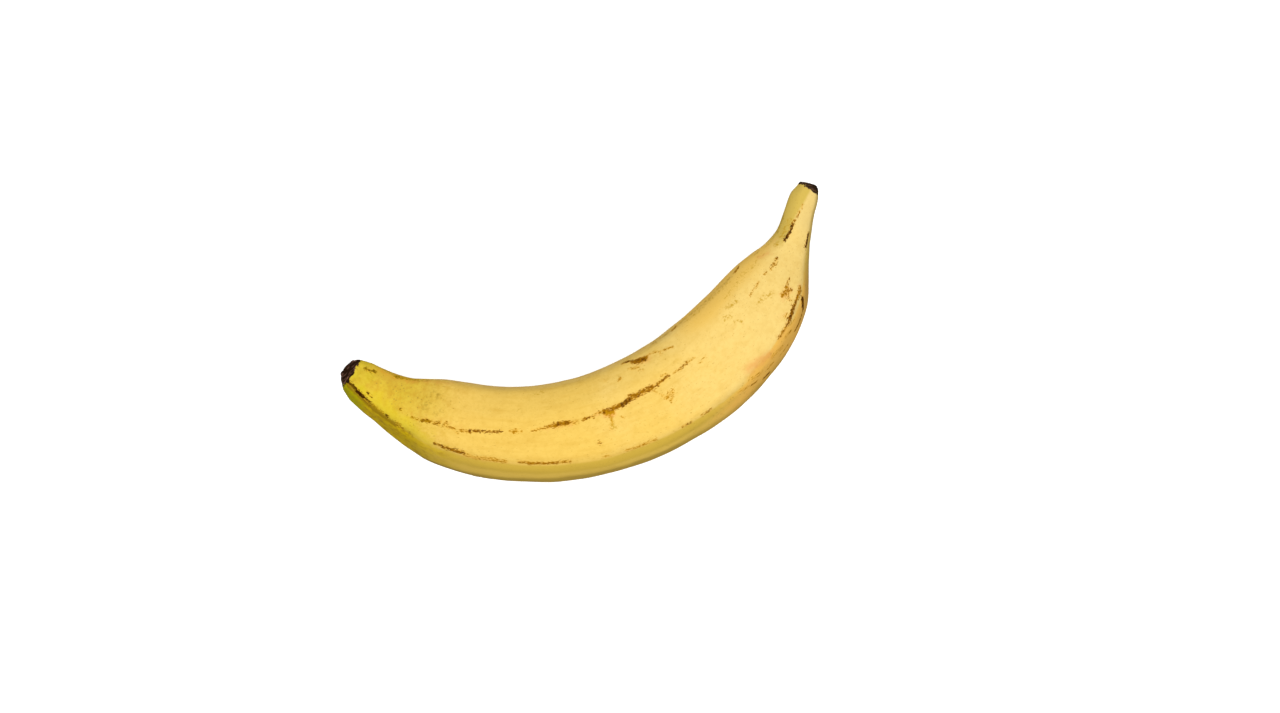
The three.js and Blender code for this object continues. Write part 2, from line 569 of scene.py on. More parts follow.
def marks_of(kind: MarkKind, reading: Reading, *rows: tuple) -> tuple[Mark, ...]:
    """Makes marks of one kind.

    Args:
        kind: what they are.
        reading: how their paths are read.
        rows: for each mark its path, width and strength and, for a scar, its tone.

    Returns:
        The marks, in order.
    """
    return tuple(Mark(kind, reading, *row) for row in rows)


SCAR, STAIN, SMUDGE, SEAM = MarkKind
ACROSS, ROUND = Reading

BELLY_RIDGE_SCARS = marks_of(
    SCAR,
    ACROSS,
    (((3.5, -4.8), (6, -4.8), (9.2, -5.0)), 1.5, 0.9, 0.85),
    (((9.8, -5.4), (11.5, -5.6), (13.4, -5.8)), 2.1, 1.0, 1.0),
    (((13.5, -5.7), (16, -5.9), (18.5, -6.3)), 0.9, 0.95, 0.8),
    (((13.8, -6.8), (18.2, -7.3)), 0.9, 0.9, 0.75),
    (((18, -6.5), (21, -7.0), (24, -7.2)), 2.0, 0.62, 0.35),
    (((25.8, -7.3), (26.6, -7.3)), 1.3, 1.0, 0.8),
    (((30.5, -7.9), (33, -8.1)), 1.0, 0.75, 0.5),
    (((31.5, -9.0), (34.5, -9.2)), 1.0, 0.85, 0.55),
    (((49, -10.0), (51.5, -10.2), (53, -10.6)), 1.4, 0.85, 0.66),
    (((52.5, -10.5), (57, -10.7), (62, -10.8)), 2.0, 0.82, 0.66),
    (((62, -11.2), (66, -12.2), (72, -12.1), (79, -12.5)), 2.8, 0.5, 0.3),
    (((84.6, -12.3), (88.6, -12.7)), 1.6, 0.75, 0.5),
    (((88.8, -13.2), (93.4, -13.4)), 1.5, 0.88, 0.5),
    (((93.8, -13.5), (98.2, -13.6)), 1.4, 0.88, 0.5),
    (((98.8, -13.7), (105.6, -13.9)), 1.5, 0.88, 0.5),
    (((119, -15.0), (121.5, -15.2)), 1.4, 0.55, 0.2),
    (((128.5, -15.5), (134, -15.8), (141.5, -15.8)), 1.8, 0.62, 0.3),
    (((153.2, -16.3), (153.8, -16.3)), 1.1, 1.0, 0.5),
    (((155.0, -16.3), (155.5, -16.4)), 1.1, 1.0, 0.75),
    (((156.8, -16.4), (157.3, -16.4)), 1.1, 1.0, 0.65),
    (((162, -16.5), (166.5, -16.6)), 1.1, 0.8, 0.5),
    (((206.2, -15.4), (208, -15.0), (211, -15.0)), 1.2, 0.85, 0.55),
    (((211.8, -15.0), (214.8, -14.6)), 1.5, 0.95, 0.7),
    (((214.8, -14.4), (218.8, -13.4)), 1.9, 1.0, 0.75),
    (((219.8, -13.2), (223.6, -12.6)), 1.6, 0.95, 0.66),
    (((223.8, -12.9), (226.2, -12.2), (228.4, -11.6)), 1.6, 0.88, 0.5),
    (((224.6, -13.2), (227.4, -12.6)), 1.2, 0.8, 0.5),
    (((220.9, -17.2), (222.4, -16.3), (224.4, -15.1)), 2.5, 1.0, 0.8),
    (((212.4, -19.1), (215.4, -18.7), (218.4, -17.9)), 1.9, 0.88, 0.6),
    (((201, -20.6), (205.8, -20.3)), 1.6, 0.6, 0.35),
    (((190.2, -21.7), (192.8, -21.8)), 1.9, 1.0, 0.7),
    (((185, -19.8), (187.6, -20.3)), 1.4, 0.85, 0.5),
    (((180, -18.4), (183, -19.2)), 2.6, 0.42, 0.2),
    (((186, -18.2), (191, -19.0)), 3.4, 0.36, 0.2),
    (((194, -20.2), (197, -20.0)), 2.4, 0.42, 0.3),
    (((199, -18.4), (204, -18.8)), 3.2, 0.38, 0.2),
    (((208, -17.4), (211, -17.8)), 2.2, 0.44, 0.3),
    (((213, -16.2), (216, -15.9)), 1.8, 0.4, 0.2),
    (((214.6, -12.3), (216, -12.0)), 1.2, 0.6, 0.3),
    (((244.6, -7.1), (247.5, -6.9), (250.4, -6.6)), 1.3, 1.0, 0.95),
)

TOP_RIDGE_SCARS = marks_of(
    SCAR,
    ACROSS,
    (((36, -2.6), (39.2, -2.6)), 1.1, 0.75, 0.35),
    (((40.6, -2.2), (42.6, -1.6), (44.4, -1.2)), 1.5, 0.95, 0.55),
    (((46.2, -1.6), (48.2, -0.8)), 1.4, 0.8, 0.45),
    (((48.6, -1.5), (49.0, 0.2)), 0.9, 0.8, 0.4),
    (((50.6, -1.2), (51.4, 0.8)), 1.1, 0.85, 0.45),
    (((51.9, -1.4), (52.4, 0.2)), 0.9, 0.8, 0.4),
    (((53.2, -1.2), (55.6, -1.2)), 1.2, 0.85, 0.5),
    (((57, -2.4), (57.6, -3.2)), 0.9, 0.7, 0.35),
    (((58.6, -1.2), (62.4, -1.0)), 1.3, 0.8, 0.45),
    (((62.4, -0.7), (67.2, 0.1)), 1.4, 0.97, 0.66),
    (((67.2, 0.1), (71.5, 0.5), (76.6, 1.0)), 1.05, 1.0, 0.7),
    (((82.4, 1.2), (83.6, 1.9)), 1.9, 0.8, 0.3),
    (((80.5, 1.2), (86, 1.4)), 1.3, 0.6, 0.15),
    (((90.4, 1.8), (94, 2.1), (97, 2.5)), 1.0, 0.85, 0.45),
    (((97, 2.5), (99.5, 3.1), (103, 3.4)), 1.4, 0.88, 0.5),
    (((101, 3.3), (104.4, 3.6), (107.3, 3.4)), 2.2, 0.92, 0.6),
    (((108, 3.4), (111.5, 3.3)), 1.1, 0.85, 0.5),
    (((109.4, 2.6), (112, 2.8)), 1.2, 0.6, 0.15),
    (((114.6, 3.5), (119.4, 3.8)), 1.2, 0.95, 0.6),
    (((120.4, 4.8), (124.5, 4.6)), 0.9, 0.8, 0.45),
    (((122.6, 4.8), (126, 4.6)), 1.6, 0.75, 0.5),
    (((125, 4.5), (129, 4.4)), 2.6, 0.82, 0.6),
    (((129, 4.6), (132.8, 4.8)), 2.2, 0.86, 0.6),
    (((126.0, 3.3), (128.4, 3.1)), 2.8, 0.82, 0.16),
    (((126.9, 2.0), (127.0, -1.6)), 1.5, 0.5, 0.05),
    (((125.0, -3.6), (125.6, -3.9)), 1.0, 0.7, 0.3),
    (((131.8, -0.2), (132.4, -1.0)), 1.2, 0.65, 0.2),
    (((133.9, 4.6), (136, 5.2), (138, 5.8)), 2.5, 0.92, 0.74),
    (((138.6, 7.6), (140.4, 7.0)), 1.4, 0.8, 0.5),
    (((139.8, 6.0), (144, 6.4), (149.5, 6.2)), 3.0, 0.78, 0.64),
    (((149, 6.0), (153, 5.8)), 1.8, 0.75, 0.6),
    (((153, 6.2), (156.2, 6.6), (159.6, 6.8)), 1.4, 0.95, 0.6),
    (((156.4, 8.2), (158.6, 8.4)), 1.3, 0.6, 0.25),
    (((162, 6.4), (164.5, 6.7)), 1.0, 0.68, 0.3),
    (((165.6, 6.5), (170.8, 6.8)), 1.3, 0.75, 0.52),
    (((171.5, 6.6), (174.6, 6.5)), 1.0, 0.62, 0.3),
    (((173.8, 3.4), (175.4, 3.1)), 1.2, 0.58, 0.2),
    (((177, 3.4), (178.4, 3.6)), 1.2, 0.58, 0.2),
    (((149.4, 5.0), (150.6, 3.2), (152.2, 0.8)), 0.8, 0.68, 0.25),
    (((152.2, 0.6), (153.6, -1.6), (154.6, -3.6)), 1.0, 0.68, 0.25),
    (((155.4, 1.2), (154.2, -1.8)), 0.8, 0.7, 0.3),
    (((157.8, 0.6), (156.4, -1.4), (154.4, -3.8)), 1.2, 0.66, 0.25),
    (((153.4, -0.6), (157.8, -1.2)), 0.8, 0.68, 0.2),
    (((152.8, -1.6), (156.6, 0.6)), 0.8, 0.72, 0.3),
    (((155.8, 0.6), (155.4, -3.2)), 0.8, 0.72, 0.3),
    (((213.6, 6.4), (217.2, 6.6)), 1.0, 0.68, 0.45),
    (((217.8, 6.4), (221.6, 6.2)), 1.2, 0.7, 0.5),
    (((226.2, 5.6), (227.2, 5.4)), 1.2, 0.8, 0.45),
    (((229.6, 4.0), (232.4, 3.8)), 1.5, 0.7, 0.55),
    (((232, 3.2), (235.4, 3.4)), 1.7, 0.7, 0.55),
    (((244.6, 3.1), (248, 2.2)), 1.5, 1.0, 0.92),
    (((248, 2.0), (252.6, 1.4)), 1.5, 0.96, 0.88),
    (((252.8, 1.8), (254.6, 1.0)), 1.1, 0.8, 0.6),
    (((256.2, 0.2), (258.8, -0.3)), 0.9, 0.9, 0.6),
    (((260.4, -1.0), (262, -1.1)), 0.9, 0.65, 0.35),
)

HOLLOW_SIDE_SCARS = marks_of(
    SCAR,
    ACROSS,
    (((142.2, 21.8), (145.4, 21.4), (148, 20.2)), 1.3, 1.0, 0.65),
    (((147.4, 20.2), (150.4, 19.6)), 2.0, 1.0, 0.66),
    (((149.6, 19.5), (151.8, 19.2), (153.6, 18.8)), 3.1, 0.97, 0.64),
    (((144, 18.2), (148.2, 17.0)), 1.3, 0.7, 0.3),
    (((147.6, 15.8), (150.2, 14.8)), 1.1, 0.6, 0.15),
    (((155.2, 19.4), (158.5, 19.4), (161.5, 18.6)), 1.2, 0.64, 0.3),
    (((162, 16.9), (162.6, 18.0)), 1.2, 0.68, 0.35),
    (((164.4, 17.4), (167, 17.1), (169, 16.2)), 1.4, 0.75, 0.4),
    (((136.6, 15.4), (138.2, 16.2)), 1.2, 0.8, 0.4),
    (((130, 17.4), (130.8, 17.0)), 1.2, 0.58, 0.2),
    (((174.4, 22.4), (177.4, 22.5)), 1.4, 0.85, 0.5),
    (((220, 17.6), (223.2, 17.4)), 1.4, 0.95, 0.65),
    (((6.3, 4.7), (8.6, 5.4), (11, 6.3)), 1.5, 0.95, 0.62),
    (((20.2, 9.9), (22.6, 10.6)), 1.5, 0.9, 0.55),
    (((23.5, 10.8), (29, 13), (36, 16.4)), 1.2, 0.6, 0.3),
    (((29.8, -1.6), (30.3, -1.7)), 1.2, 1.0, 0.5),
    (((13.8, -3.0), (14.4, -3.4)), 1.3, 1.0, 0.9),
    (((15.8, -3.6), (16.4, -3.8)), 0.9, 0.75, 0.6),
    (((119.0, -8.3), (119.3, -8.5)), 1.2, 0.95, 0.6),
    (((221.6, -6.2), (223.4, -6.8), (225.4, -6.2)), 2.4, 0.66, 0.5),
    (((221.8, -5.4), (222.6, -8.2)), 1.1, 0.85, 0.55),
    (((223.2, -8.4), (224.8, -7.2)), 1.1, 0.82, 0.55),
    (((221.4, -9.2), (221.5, -10.8)), 1.1, 0.72, 0.4),
    (((224.8, -8.0), (225.6, -8.3)), 1.2, 0.95, 0.65),
    (((225.6, -5.8), (229.2, -5.4)), 1.2, 0.72, 0.55),
    (((221, -9.0), (221.8, -9.8)), 1.2, 0.7, 0.4),
    (((214.6, -11.6), (216, -12)), 1.1, 0.62, 0.3),
)

SEAMS = marks_of(
    SEAM,
    ACROSS,
    (((39, 4.4), (47, 4.2)), 5.0, 0.3),
    (((41, 10.8), (44.5, 10.6)), 4.0, 0.32),
    (((4, -5.7), (13.5, -6.9), (22, -8.2), (30, -9.2)), 3.2, 1.0),
    (((27, -8.4), (33, -9.3), (39, -10.1)), 1.8, 0.55),
    (((244, -7.2), (250, -6.6)), 1.0, 0.6),
    (((14, 9.2), (20, 10.2), (28, 12.0), (36, 15.4)), 1.4, 0.62),
    (((160, 23.0), (176, 22.8), (190, 22.0), (206, 20.4), (220, 17.8)), 1.8, 0.5),
    (((232, 13.6), (240, 9.4), (250, 7.2)), 1.2, 0.55),
    (((246, 7.7), (252, 6.9), (257, 6.5)), 1.2, 0.7),
)

SMUDGES = marks_of(
    SMUDGE,
    ACROSS,
    (((184, 20.8), (200, 20.0), (214, 17.8)), 3.0, 0.45),
    (((48.4, 7.8), (49.4, 7.2)), 1.2, 0.6),
    (((93.2, 18.0), (97.6, 18.4)), 1.6, 0.6),
    (((85.6, 17.0), (92, 17.8)), 1.4, 0.42),
    (((81.6, 11.1), (85.4, 10.9)), 1.0, 0.55),
    (((97, 11.2), (101.2, 11.0)), 1.0, 0.5),
    (((196.6, 9.6), (200.6, 8.2)), 2.4, 0.6),
    (((202.4, 11.6), (205.4, 10.4), (208, 9.6)), 2.4, 0.66),
    (((199.4, 4.9), (201.8, 2.4)), 1.8, 0.62),
    (((205.4, 15.0), (206.6, 14.8)), 1.6, 0.55),
    (((213.4, 1.2), (216, 0.4), (220, -1.0)), 3.0, 0.52),
    (((173, 22.6), (182, 22.6), (190, 21.6)), 2.0, 0.5),
    (((9, -8.6), (16, -9.4), (26, -10.8), (38, -12.8)), 3.4, 0.38),
    (((241, 6.0), (249, 4.6), (254, 3.4)), 3.4, 0.5),
    (((207, 14.5), (222, 13.6), (235, 9.6)), 4.0, 0.36),
    (((250, 1.6), (256, 0.6), (263, -1.4)), 1.6, 0.4),
    (((127, 2.0), (127, -3.4)), 1.8, 0.85),
)

STAINS = marks_of(
    STAIN,
    ACROSS,
    (((121.5, 4.2), (132, 4.4), (138, 5.4), (152, 6.2)), 3.2, 0.42),
    (((126, 3.0), (128, 2.8)), 3.4, 0.95),
    (((97, 2.4), (107, 3.2)), 1.4, 0.5),
    (((149, 19.4), (155, 18.4)), 3.6, 0.62),
    (((188.5, -14.0), (193, -15.0), (198, -16.4)), 5.5, 0.66),
    (((206, -15.4), (214, -14.8), (222, -13.0), (229, -11.6)), 2.0, 0.5),
    (((221.6, -6.6), (225.0, -7.4)), 4.0, 0.6),
    (((212.6, -10.4), (216.4, -11.4)), 2.6, 0.36),
    (((60, -12.0), (76, -13.0)), 1.6, 0.4),
    (((88, -13.4), (106, -14.0)), 1.0, 0.42),
    (((232.4, 10.8), (235.4, 8.2)), 3.2, 0.6),
    (((12, 8.0), (20, 9.4), (28, 11.4), (37, 15.6), (48, 18.4)), 2.6, 0.6),
    (((98, 2.2), (103, 2.8), (109, 2.8)), 2.2, 0.6),
    (((34, -2.0), (44, -0.6), (58, 0.4)), 3.0, 0.3),
    (((236, 10.0), (244, 6.8)), 2.0, 0.4),
)

HIDDEN_SCARS = marks_of(
    SCAR,
    ROUND,
    (((31, 131), (47, 132), (58, 133)), 1.6, 0.72, 0.45),
    (((72, 134), (90, 133), (104, 134)), 2.0, 0.66, 0.4),
    (((112, 135), (131, 134), (139, 136)), 1.4, 0.8, 0.5),
    (((158, 135), (176, 136)), 2.4, 0.62, 0.35),
    (((188, 135), (201, 136), (214, 135)), 1.6, 0.85, 0.6),
    (((18, 214), (29, 214)), 1.4, 0.85, 0.6),
    (((52, 214), (70, 215), (81, 214)), 2.2, 0.7, 0.4),
    (((101, 213), (118, 214)), 1.3, 0.9, 0.6),
    (((124, 215), (149, 215)), 2.6, 0.62, 0.35),
    (((171, 216), (183, 215), (199, 217)), 1.7, 0.8, 0.5),
    (((226, 219), (238, 220)), 1.3, 0.9, 0.7),
    (((88, 170), (97, 176), (103, 174)), 2.2, 0.62, 0.3),
    (((143, 188), (150, 183)), 3.0, 0.58, 0.3),
    (((66, 246), (74, 243)), 1.6, 0.66, 0.3),
    (((113, 99), (122, 95), (127, 97)), 1.5, 0.7, 0.4),
    (((176, 108), (183, 104)), 2.0, 0.62, 0.3),
    (((60, 104), (69, 107)), 1.4, 0.62, 0.3),
)

HIDDEN_STAINS = marks_of(
    STAIN,
    ROUND,
    (((104, 205), (140, 208)), 7.0, 0.5),
    (((66, 128), (84, 131)), 5.0, 0.45),
    (((180, 140), (196, 138)), 5.0, 0.5),
)

HIDDEN_SMUDGES = marks_of(
    SMUDGE,
    ROUND,
    (((120, 160), (136, 166)), 8.0, 0.4),
    (((40, 176), (58, 181)), 6.0, 0.45),
)

ALL_SCARS = BELLY_RIDGE_SCARS + TOP_RIDGE_SCARS + HOLLOW_SIDE_SCARS + HIDDEN_SCARS
ALL_MARKS = ALL_SCARS + SEAMS + SMUDGES + STAINS + HIDDEN_STAINS + HIDDEN_SMUDGES


# ---------------------------------------------------------------------------------------------
# Relief and areas of colour
# ---------------------------------------------------------------------------------------------


@dataclass(frozen=True)
class Relief:
    """The small shapes of the skin, as heights over the smooth fruit."""

    crest: float = 0.35  # extra height of a ridge
    crest_reach: float = 2.6  # how far from the ridge the crest has fallen to about a third
    end_crest: float = 0.4  # share of the crest that is left at both ends
    body: Stretch = Stretch((2, 24), (246, 270))  # where ridges, dents and flutes are full
    dents: Lumps = Lumps(0.35, 19.0, 2, 3.1)
    flutes: Lumps = Lumps(0.16, 7.0, 2, 7.7)  # shallow hollows
    flute_stretch: float = 9.0  # how much longer than wide they are
    scar_depth: float = 0.14
    scar_edge: tuple[float, float] = (0.3, 0.8)  # how scarred skin starts to sink, and has sunk in full
    knobs: Lumps = Lumps(0.4, 2.6, 3, 12.3)  # rough shrivelled skin at the blossom end
    shrivelled: Stretch = Stretch(fall=(0, 7.2))
    pits: Lumps = Lumps(0.64, 2.6, 3, 33.3)  # deeper roughness on the blossom scar's face
    pit_depth: float = 1.1  # by which the face's dry middle is sunk
    fibres: Lumps = Lumps(0.35, 1.3, 2, 21.9)  # their ends, standing out of the cut
    cut_depth: float = 0.7  # by which the dried cut is sunk
    cut_rim: Stretch = Stretch((268, 271.5))
    rim_fibres: float = 0.6  # share of the fibres' roughness that is left on the cut's rim

    def heights(self, skin: SkinPoints, shape: FruitShape, scar: np.ndarray) -> np.ndarray:
        """Adds up all the small shapes.

        Args:
            skin: the smooth skin's points.
            shape: the fruit that they are on.
            scar: how scarred each point is, EDGE at a scar's edge.

        Returns:
            Millimetres outwards for every point.
        """
        body = self.body.at(skin.along)
        total = np.zeros(len(skin.along))
        for ridge in Ridge:
            total += self.crest * np.exp(-((shape.past(skin, ridge) / self.crest_reach) ** 2))
        total *= at_least(self.end_crest, body)
        total += self.dents.at(skin.straight) * body
        total += self.flutes.at(skin.straight / (self.flute_stretch, 1.0, 1.0)) * body
        total -= self.scar_depth * soft_step(*self.scar_edge, scar)
        total += self.knobs.at(skin.straight) * self.shrivelled.at(skin.along)
        fibres = self.fibres.at(skin.straight)
        total += self.rim_fibres * fibres * self.cut_rim.at(skin.along) * skin.on(Place.SIDE)
        inside = 1.0 - skin.share**3
        total += inside * (self.pits.at(skin.straight) - self.pit_depth) * skin.on(Place.BLOSSOM_FACE)
        total += inside * (fibres - self.cut_depth) * skin.on(Place.CUT_FACE)
        return total


@dataclass(frozen=True)
class Tongue:
    """A tongue of dead tissue that reaches over the rim of an end face."""

    reach: float
    middle: float  # degrees from straight up
    narrowness: float

    def at(self, angle: np.ndarray) -> np.ndarray:
        """Returns how far the tongue reaches along the fruit at each angle."""
        return self.reach * np.exp(self.narrowness * (np.cos(angle - math.radians(self.middle)) - 1.0))


@dataclass(frozen=True)
class DeadTips:
    """How far the dead tissue reaches over the rims of the blossom scar and of the cut."""

    lobes: Lumps = Lumps(0.4, 3.4, 2, 5.5)  # by which both edges wander
    blossom_reach: float = 2.5
    blossom_lean: float = 1.7  # how much farther it reaches on one side, and less on the other
    blossom_side: float = -40.0  # that side, in degrees from straight up
    blossom_tongue: Tongue = Tongue(0.8, -8.0, 12.0)
    blossom_fade: float = 2.4  # length over which the dead tissue ends
    cut_start: float = 270.8
    cut_tongue: Tongue = Tongue(2.7, -46.0, 3.5)
    cut_lobes: float = 1.6  # how many times as far the cut's edge wanders as the blossom scar's
    cut_teeth: Lumps = Lumps(0.9, 1.5, 2, 8.8)
    cut_fade: float = 2.0

    def areas(self, skin: SkinPoints) -> dict[str, np.ndarray]:
        """Marks out both dead tips.

        Args:
            skin: the smooth skin's points.

        Returns:
            For each tip, values from 0 to 1, with EDGE at its edge.
        """
        lobes = self.lobes.at(skin.straight)
        lean = self.blossom_lean * np.cos(skin.angle - math.radians(self.blossom_side))
        blossom = self.blossom_reach + lean + self.blossom_tongue.at(skin.angle) + lobes - skin.along
        cut = skin.along - self.cut_start + self.cut_tongue.at(skin.angle)
        cut += self.cut_lobes * lobes + self.cut_teeth.at(skin.straight)
        tips = {
            "blossom": (Place.BLOSSOM_FACE, blossom / self.blossom_fade),
            "cut": (Place.CUT_FACE, cut / self.cut_fade),
        }
        return {
            name: np.where(skin.on(face), 1.0, np.clip(EDGE + inside, 0.0, 1.0))
            for name, (face, inside) in tips.items()
        }


TINTS_ALONG = {
    "tan": Stretch((140, 195), (222, 246)),  # warm yellow down the belly, near the stem
    "hollow": Stretch((20, 60), (220, 246)),  # painted shade: a greyer, darker yellow on the hollow side
    "young": Stretch(fall=(14, 68)),  # greenish yellow, less ripe, near the blossom end
    "lime": Stretch((5, 14), (42, 60)),  # a brighter band above the belly's ridge
    "flush": Stretch(fall=(18, 38)),  # brownish yellow on the hollow side of the blossom end
    "sprig": Stretch(fall=(8, 22)),  # fresh green next to the blossom scar
    "lower": Stretch((34, 54), (195, 212)),  # painted shade: dark olive where the belly turns under
    "dusk": Stretch((44, 60), (150, 195)),  # painted shade: a darker band just below the belly's ridge
    "gold": Stretch((160, 195), (240, 262)),  # deeper yellow on the hollow side, near the stem
    "stalk": Stretch((243, 258)),  # greyish yellow of the stem
    "green": Stretch(fall=(20, 84)),  # mottled green down the belly of the blossom end
    "olive": Stretch((232, 252)),  # the neck's hollow side: partly its own olive colour, partly painted shade
}


@dataclass(frozen=True)
class Tints:
    """The broad areas of colour. TINTS_ALONG has where they lie along the fruit.

    Where they lie round it is counted from a ridge: to the hollow side from the top ridge and from
    that of the hollow side, and down the belly from that of the belly.
    """

    belly: Stretch = Stretch((-0.8, 1.4))
    belly_softness: Stretch = Stretch((60, 120), top=0.3)  # along the fruit
    high_belly: Stretch = Stretch((-2.0, 0.2))  # a border that runs a little higher
    high_belly_along: Stretch = Stretch((175, 192), (207, 214))
    # painted shade on the hollow side, past its upper ridge
    hollow: Stretch = Stretch((-3.0, 2.5), (40, 60))
    # the neck's hollow side, where its olive also carries painted shade
    neck: Stretch = Stretch((-1.4, 1.8))
    neck_shift: Stretch = Stretch((250, 274), top=4.2)  # how far its border crosses the top ridge
    lime: Stretch = Stretch(fall=(1, 9))  # up from the belly's ridge
    flush: Stretch = Stretch((2, 11))
    gold: Stretch = Stretch((-2, 12))
    # where the painted shade just below the belly's ridge rises and fades
    ridge_shade_rise: Stretch = Stretch((-1.2, 0.4))
    ridge_shade_fall: Stretch = Stretch(fall=(3, 9))
    lower: Stretch = Stretch((0.86, 0.99))  # painted shade where the belly turns under, in shares of the belly's reach
    under_shade_paling: Stretch = Stretch((140, 170), top=0.4)  # where that painted shade pales, along the fruit
    sprig_off_belly: float = 0.4  # how strong sprig is above the belly
    green_off_belly: float = 0.2  # how strong green is there
    early_cream_and_highlight: Stretch = Stretch((104, 134), top=0.42)  # creamy paling and painted highlight, along the fruit
    late_cream_and_highlight: Stretch = Stretch((150, 208), top=0.5)
    specks: float = 0.25  # how speckled all of the peel is
    hollow_specks: float = 0.5  # how much more the hollow side is
    young_specks: Stretch = Stretch(fall=(25, 70), top=0.75)  # along the fruit
    ripe_specks: Stretch = Stretch((120, 170))
    ripe_belly_specks: float = 0.6  # how much more the belly is along the ripe stretch
    ripe_hollow_specks: float = 0.4  # how much more the hollow side is there

    def areas(self, skin: SkinPoints, shape: FruitShape) -> dict[str, np.ndarray]:
        """Marks out every area.

        Args:
            skin: the smooth skin's points.
            shape: the fruit that they are on.

        Returns:
            For each area, values from 0 to 1.
        """
        along = skin.along
        over_top = shape.past(skin, Ridge.TOP)
        down_belly = -shape.past(skin, Ridge.BELLY_TOP)
        border = down_belly / (1.0 + self.belly_softness.at(along))
        high_belly = self.high_belly.at(border) * self.high_belly_along.at(along)
        belly = np.maximum(self.belly.at(border), high_belly)
        hollow = self.hollow.at(shape.past(skin, Ridge.HOLLOW_TOP))
        neck = self.neck.at(over_top + self.neck_shift.at(along)) * (1.0 - belly)
        belly_share = -skin.straight[:, 1] / shape.size("belly", along)
        round_fruit = {
            "tan": belly,
            "hollow": hollow,
            "young": 1.0,
            "lime": self.lime.at(-border) * (1.0 - belly),
            "flush": self.flush.at(over_top),
            "sprig": at_least(self.sprig_off_belly, belly),
            # painted shade on the belly: where it turns under, and just below its ridge
            "lower": self.lower.at(belly_share) * (1.0 - self.under_shade_paling.at(along)),
            "dusk": self.ridge_shade_rise.at(border) * self.ridge_shade_fall.at(down_belly),
            "gold": self.gold.at(over_top) * (1.0 - belly),
            "stalk": 1.0 - neck,
            "green": at_least(self.green_off_belly, belly),
            "olive": neck,
        }
        areas = {name: TINTS_ALONG[name].at(along) * share for name, share in round_fruit.items()}
        areas["belly"] = belly
        areas["cream"] = self.early_cream_and_highlight.at(along) + self.late_cream_and_highlight.at(along)
        speckled = self.specks + self.young_specks.at(along) + self.hollow_specks * hollow
        ripe = self.ripe_belly_specks * belly + self.ripe_hollow_specks * hollow
        areas["speckled"] = np.clip(speckled + ripe * self.ripe_specks.at(along), 0.0, 1.0)
        return areas


# ---------------------------------------------------------------------------------------------
# The fruit
# ---------------------------------------------------------------------------------------------


@dataclass(frozen=True)
class BakeMap:
    """A square of side 1 with the fruit's side as one strip and its end faces as two discs."""

    strip: float = 0.9  # height of the strip
    gap: float = 0.004  # clear border round it
    disc: float = 0.045  # radius of a disc
    disc_middles: tuple[tuple[Place, float, float], ...] = (
        (Place.BLOSSOM_FACE, 0.1, 0.95),
        (Place.CUT_FACE, 0.3, 0.95),
    )

    def corners(self, faces: np.ndarray, skin: SkinPoints) -> np.ndarray:
        """Lays every face on the square.

        Args:
            faces: point numbers of each face.
            skin: the smooth skin's points.

        Returns:
            Two coordinates for each corner of each face.
        """
        corner = faces.ravel()
        angle = skin.angle[corner]
        turn = skin.angle[faces] / TURN_ROUND
        split = (np.ptp(turn, axis=1, keepdims=True) > 0.5) & (turn < 0.5)
        turn = np.where(split, turn + 1.0, turn).ravel()
        u = self.gap + (1.0 - 2.0 * self.gap) * skin.along[corner] / skin.along.max()
        v = self.gap + (self.strip - 2.0 * self.gap) * turn
        face_place = skin.place[faces].max(1).repeat(faces.shape[1])
        radius = self.disc * skin.share[corner]
        for place, middle_u, middle_v in self.disc_middles:
            here = face_place == place.value
            u = np.where(here, middle_u + radius * np.cos(angle), u)
            v = np.where(here, middle_v + radius * np.sin(angle), v)
        return np.stack([u, v], axis=-1)


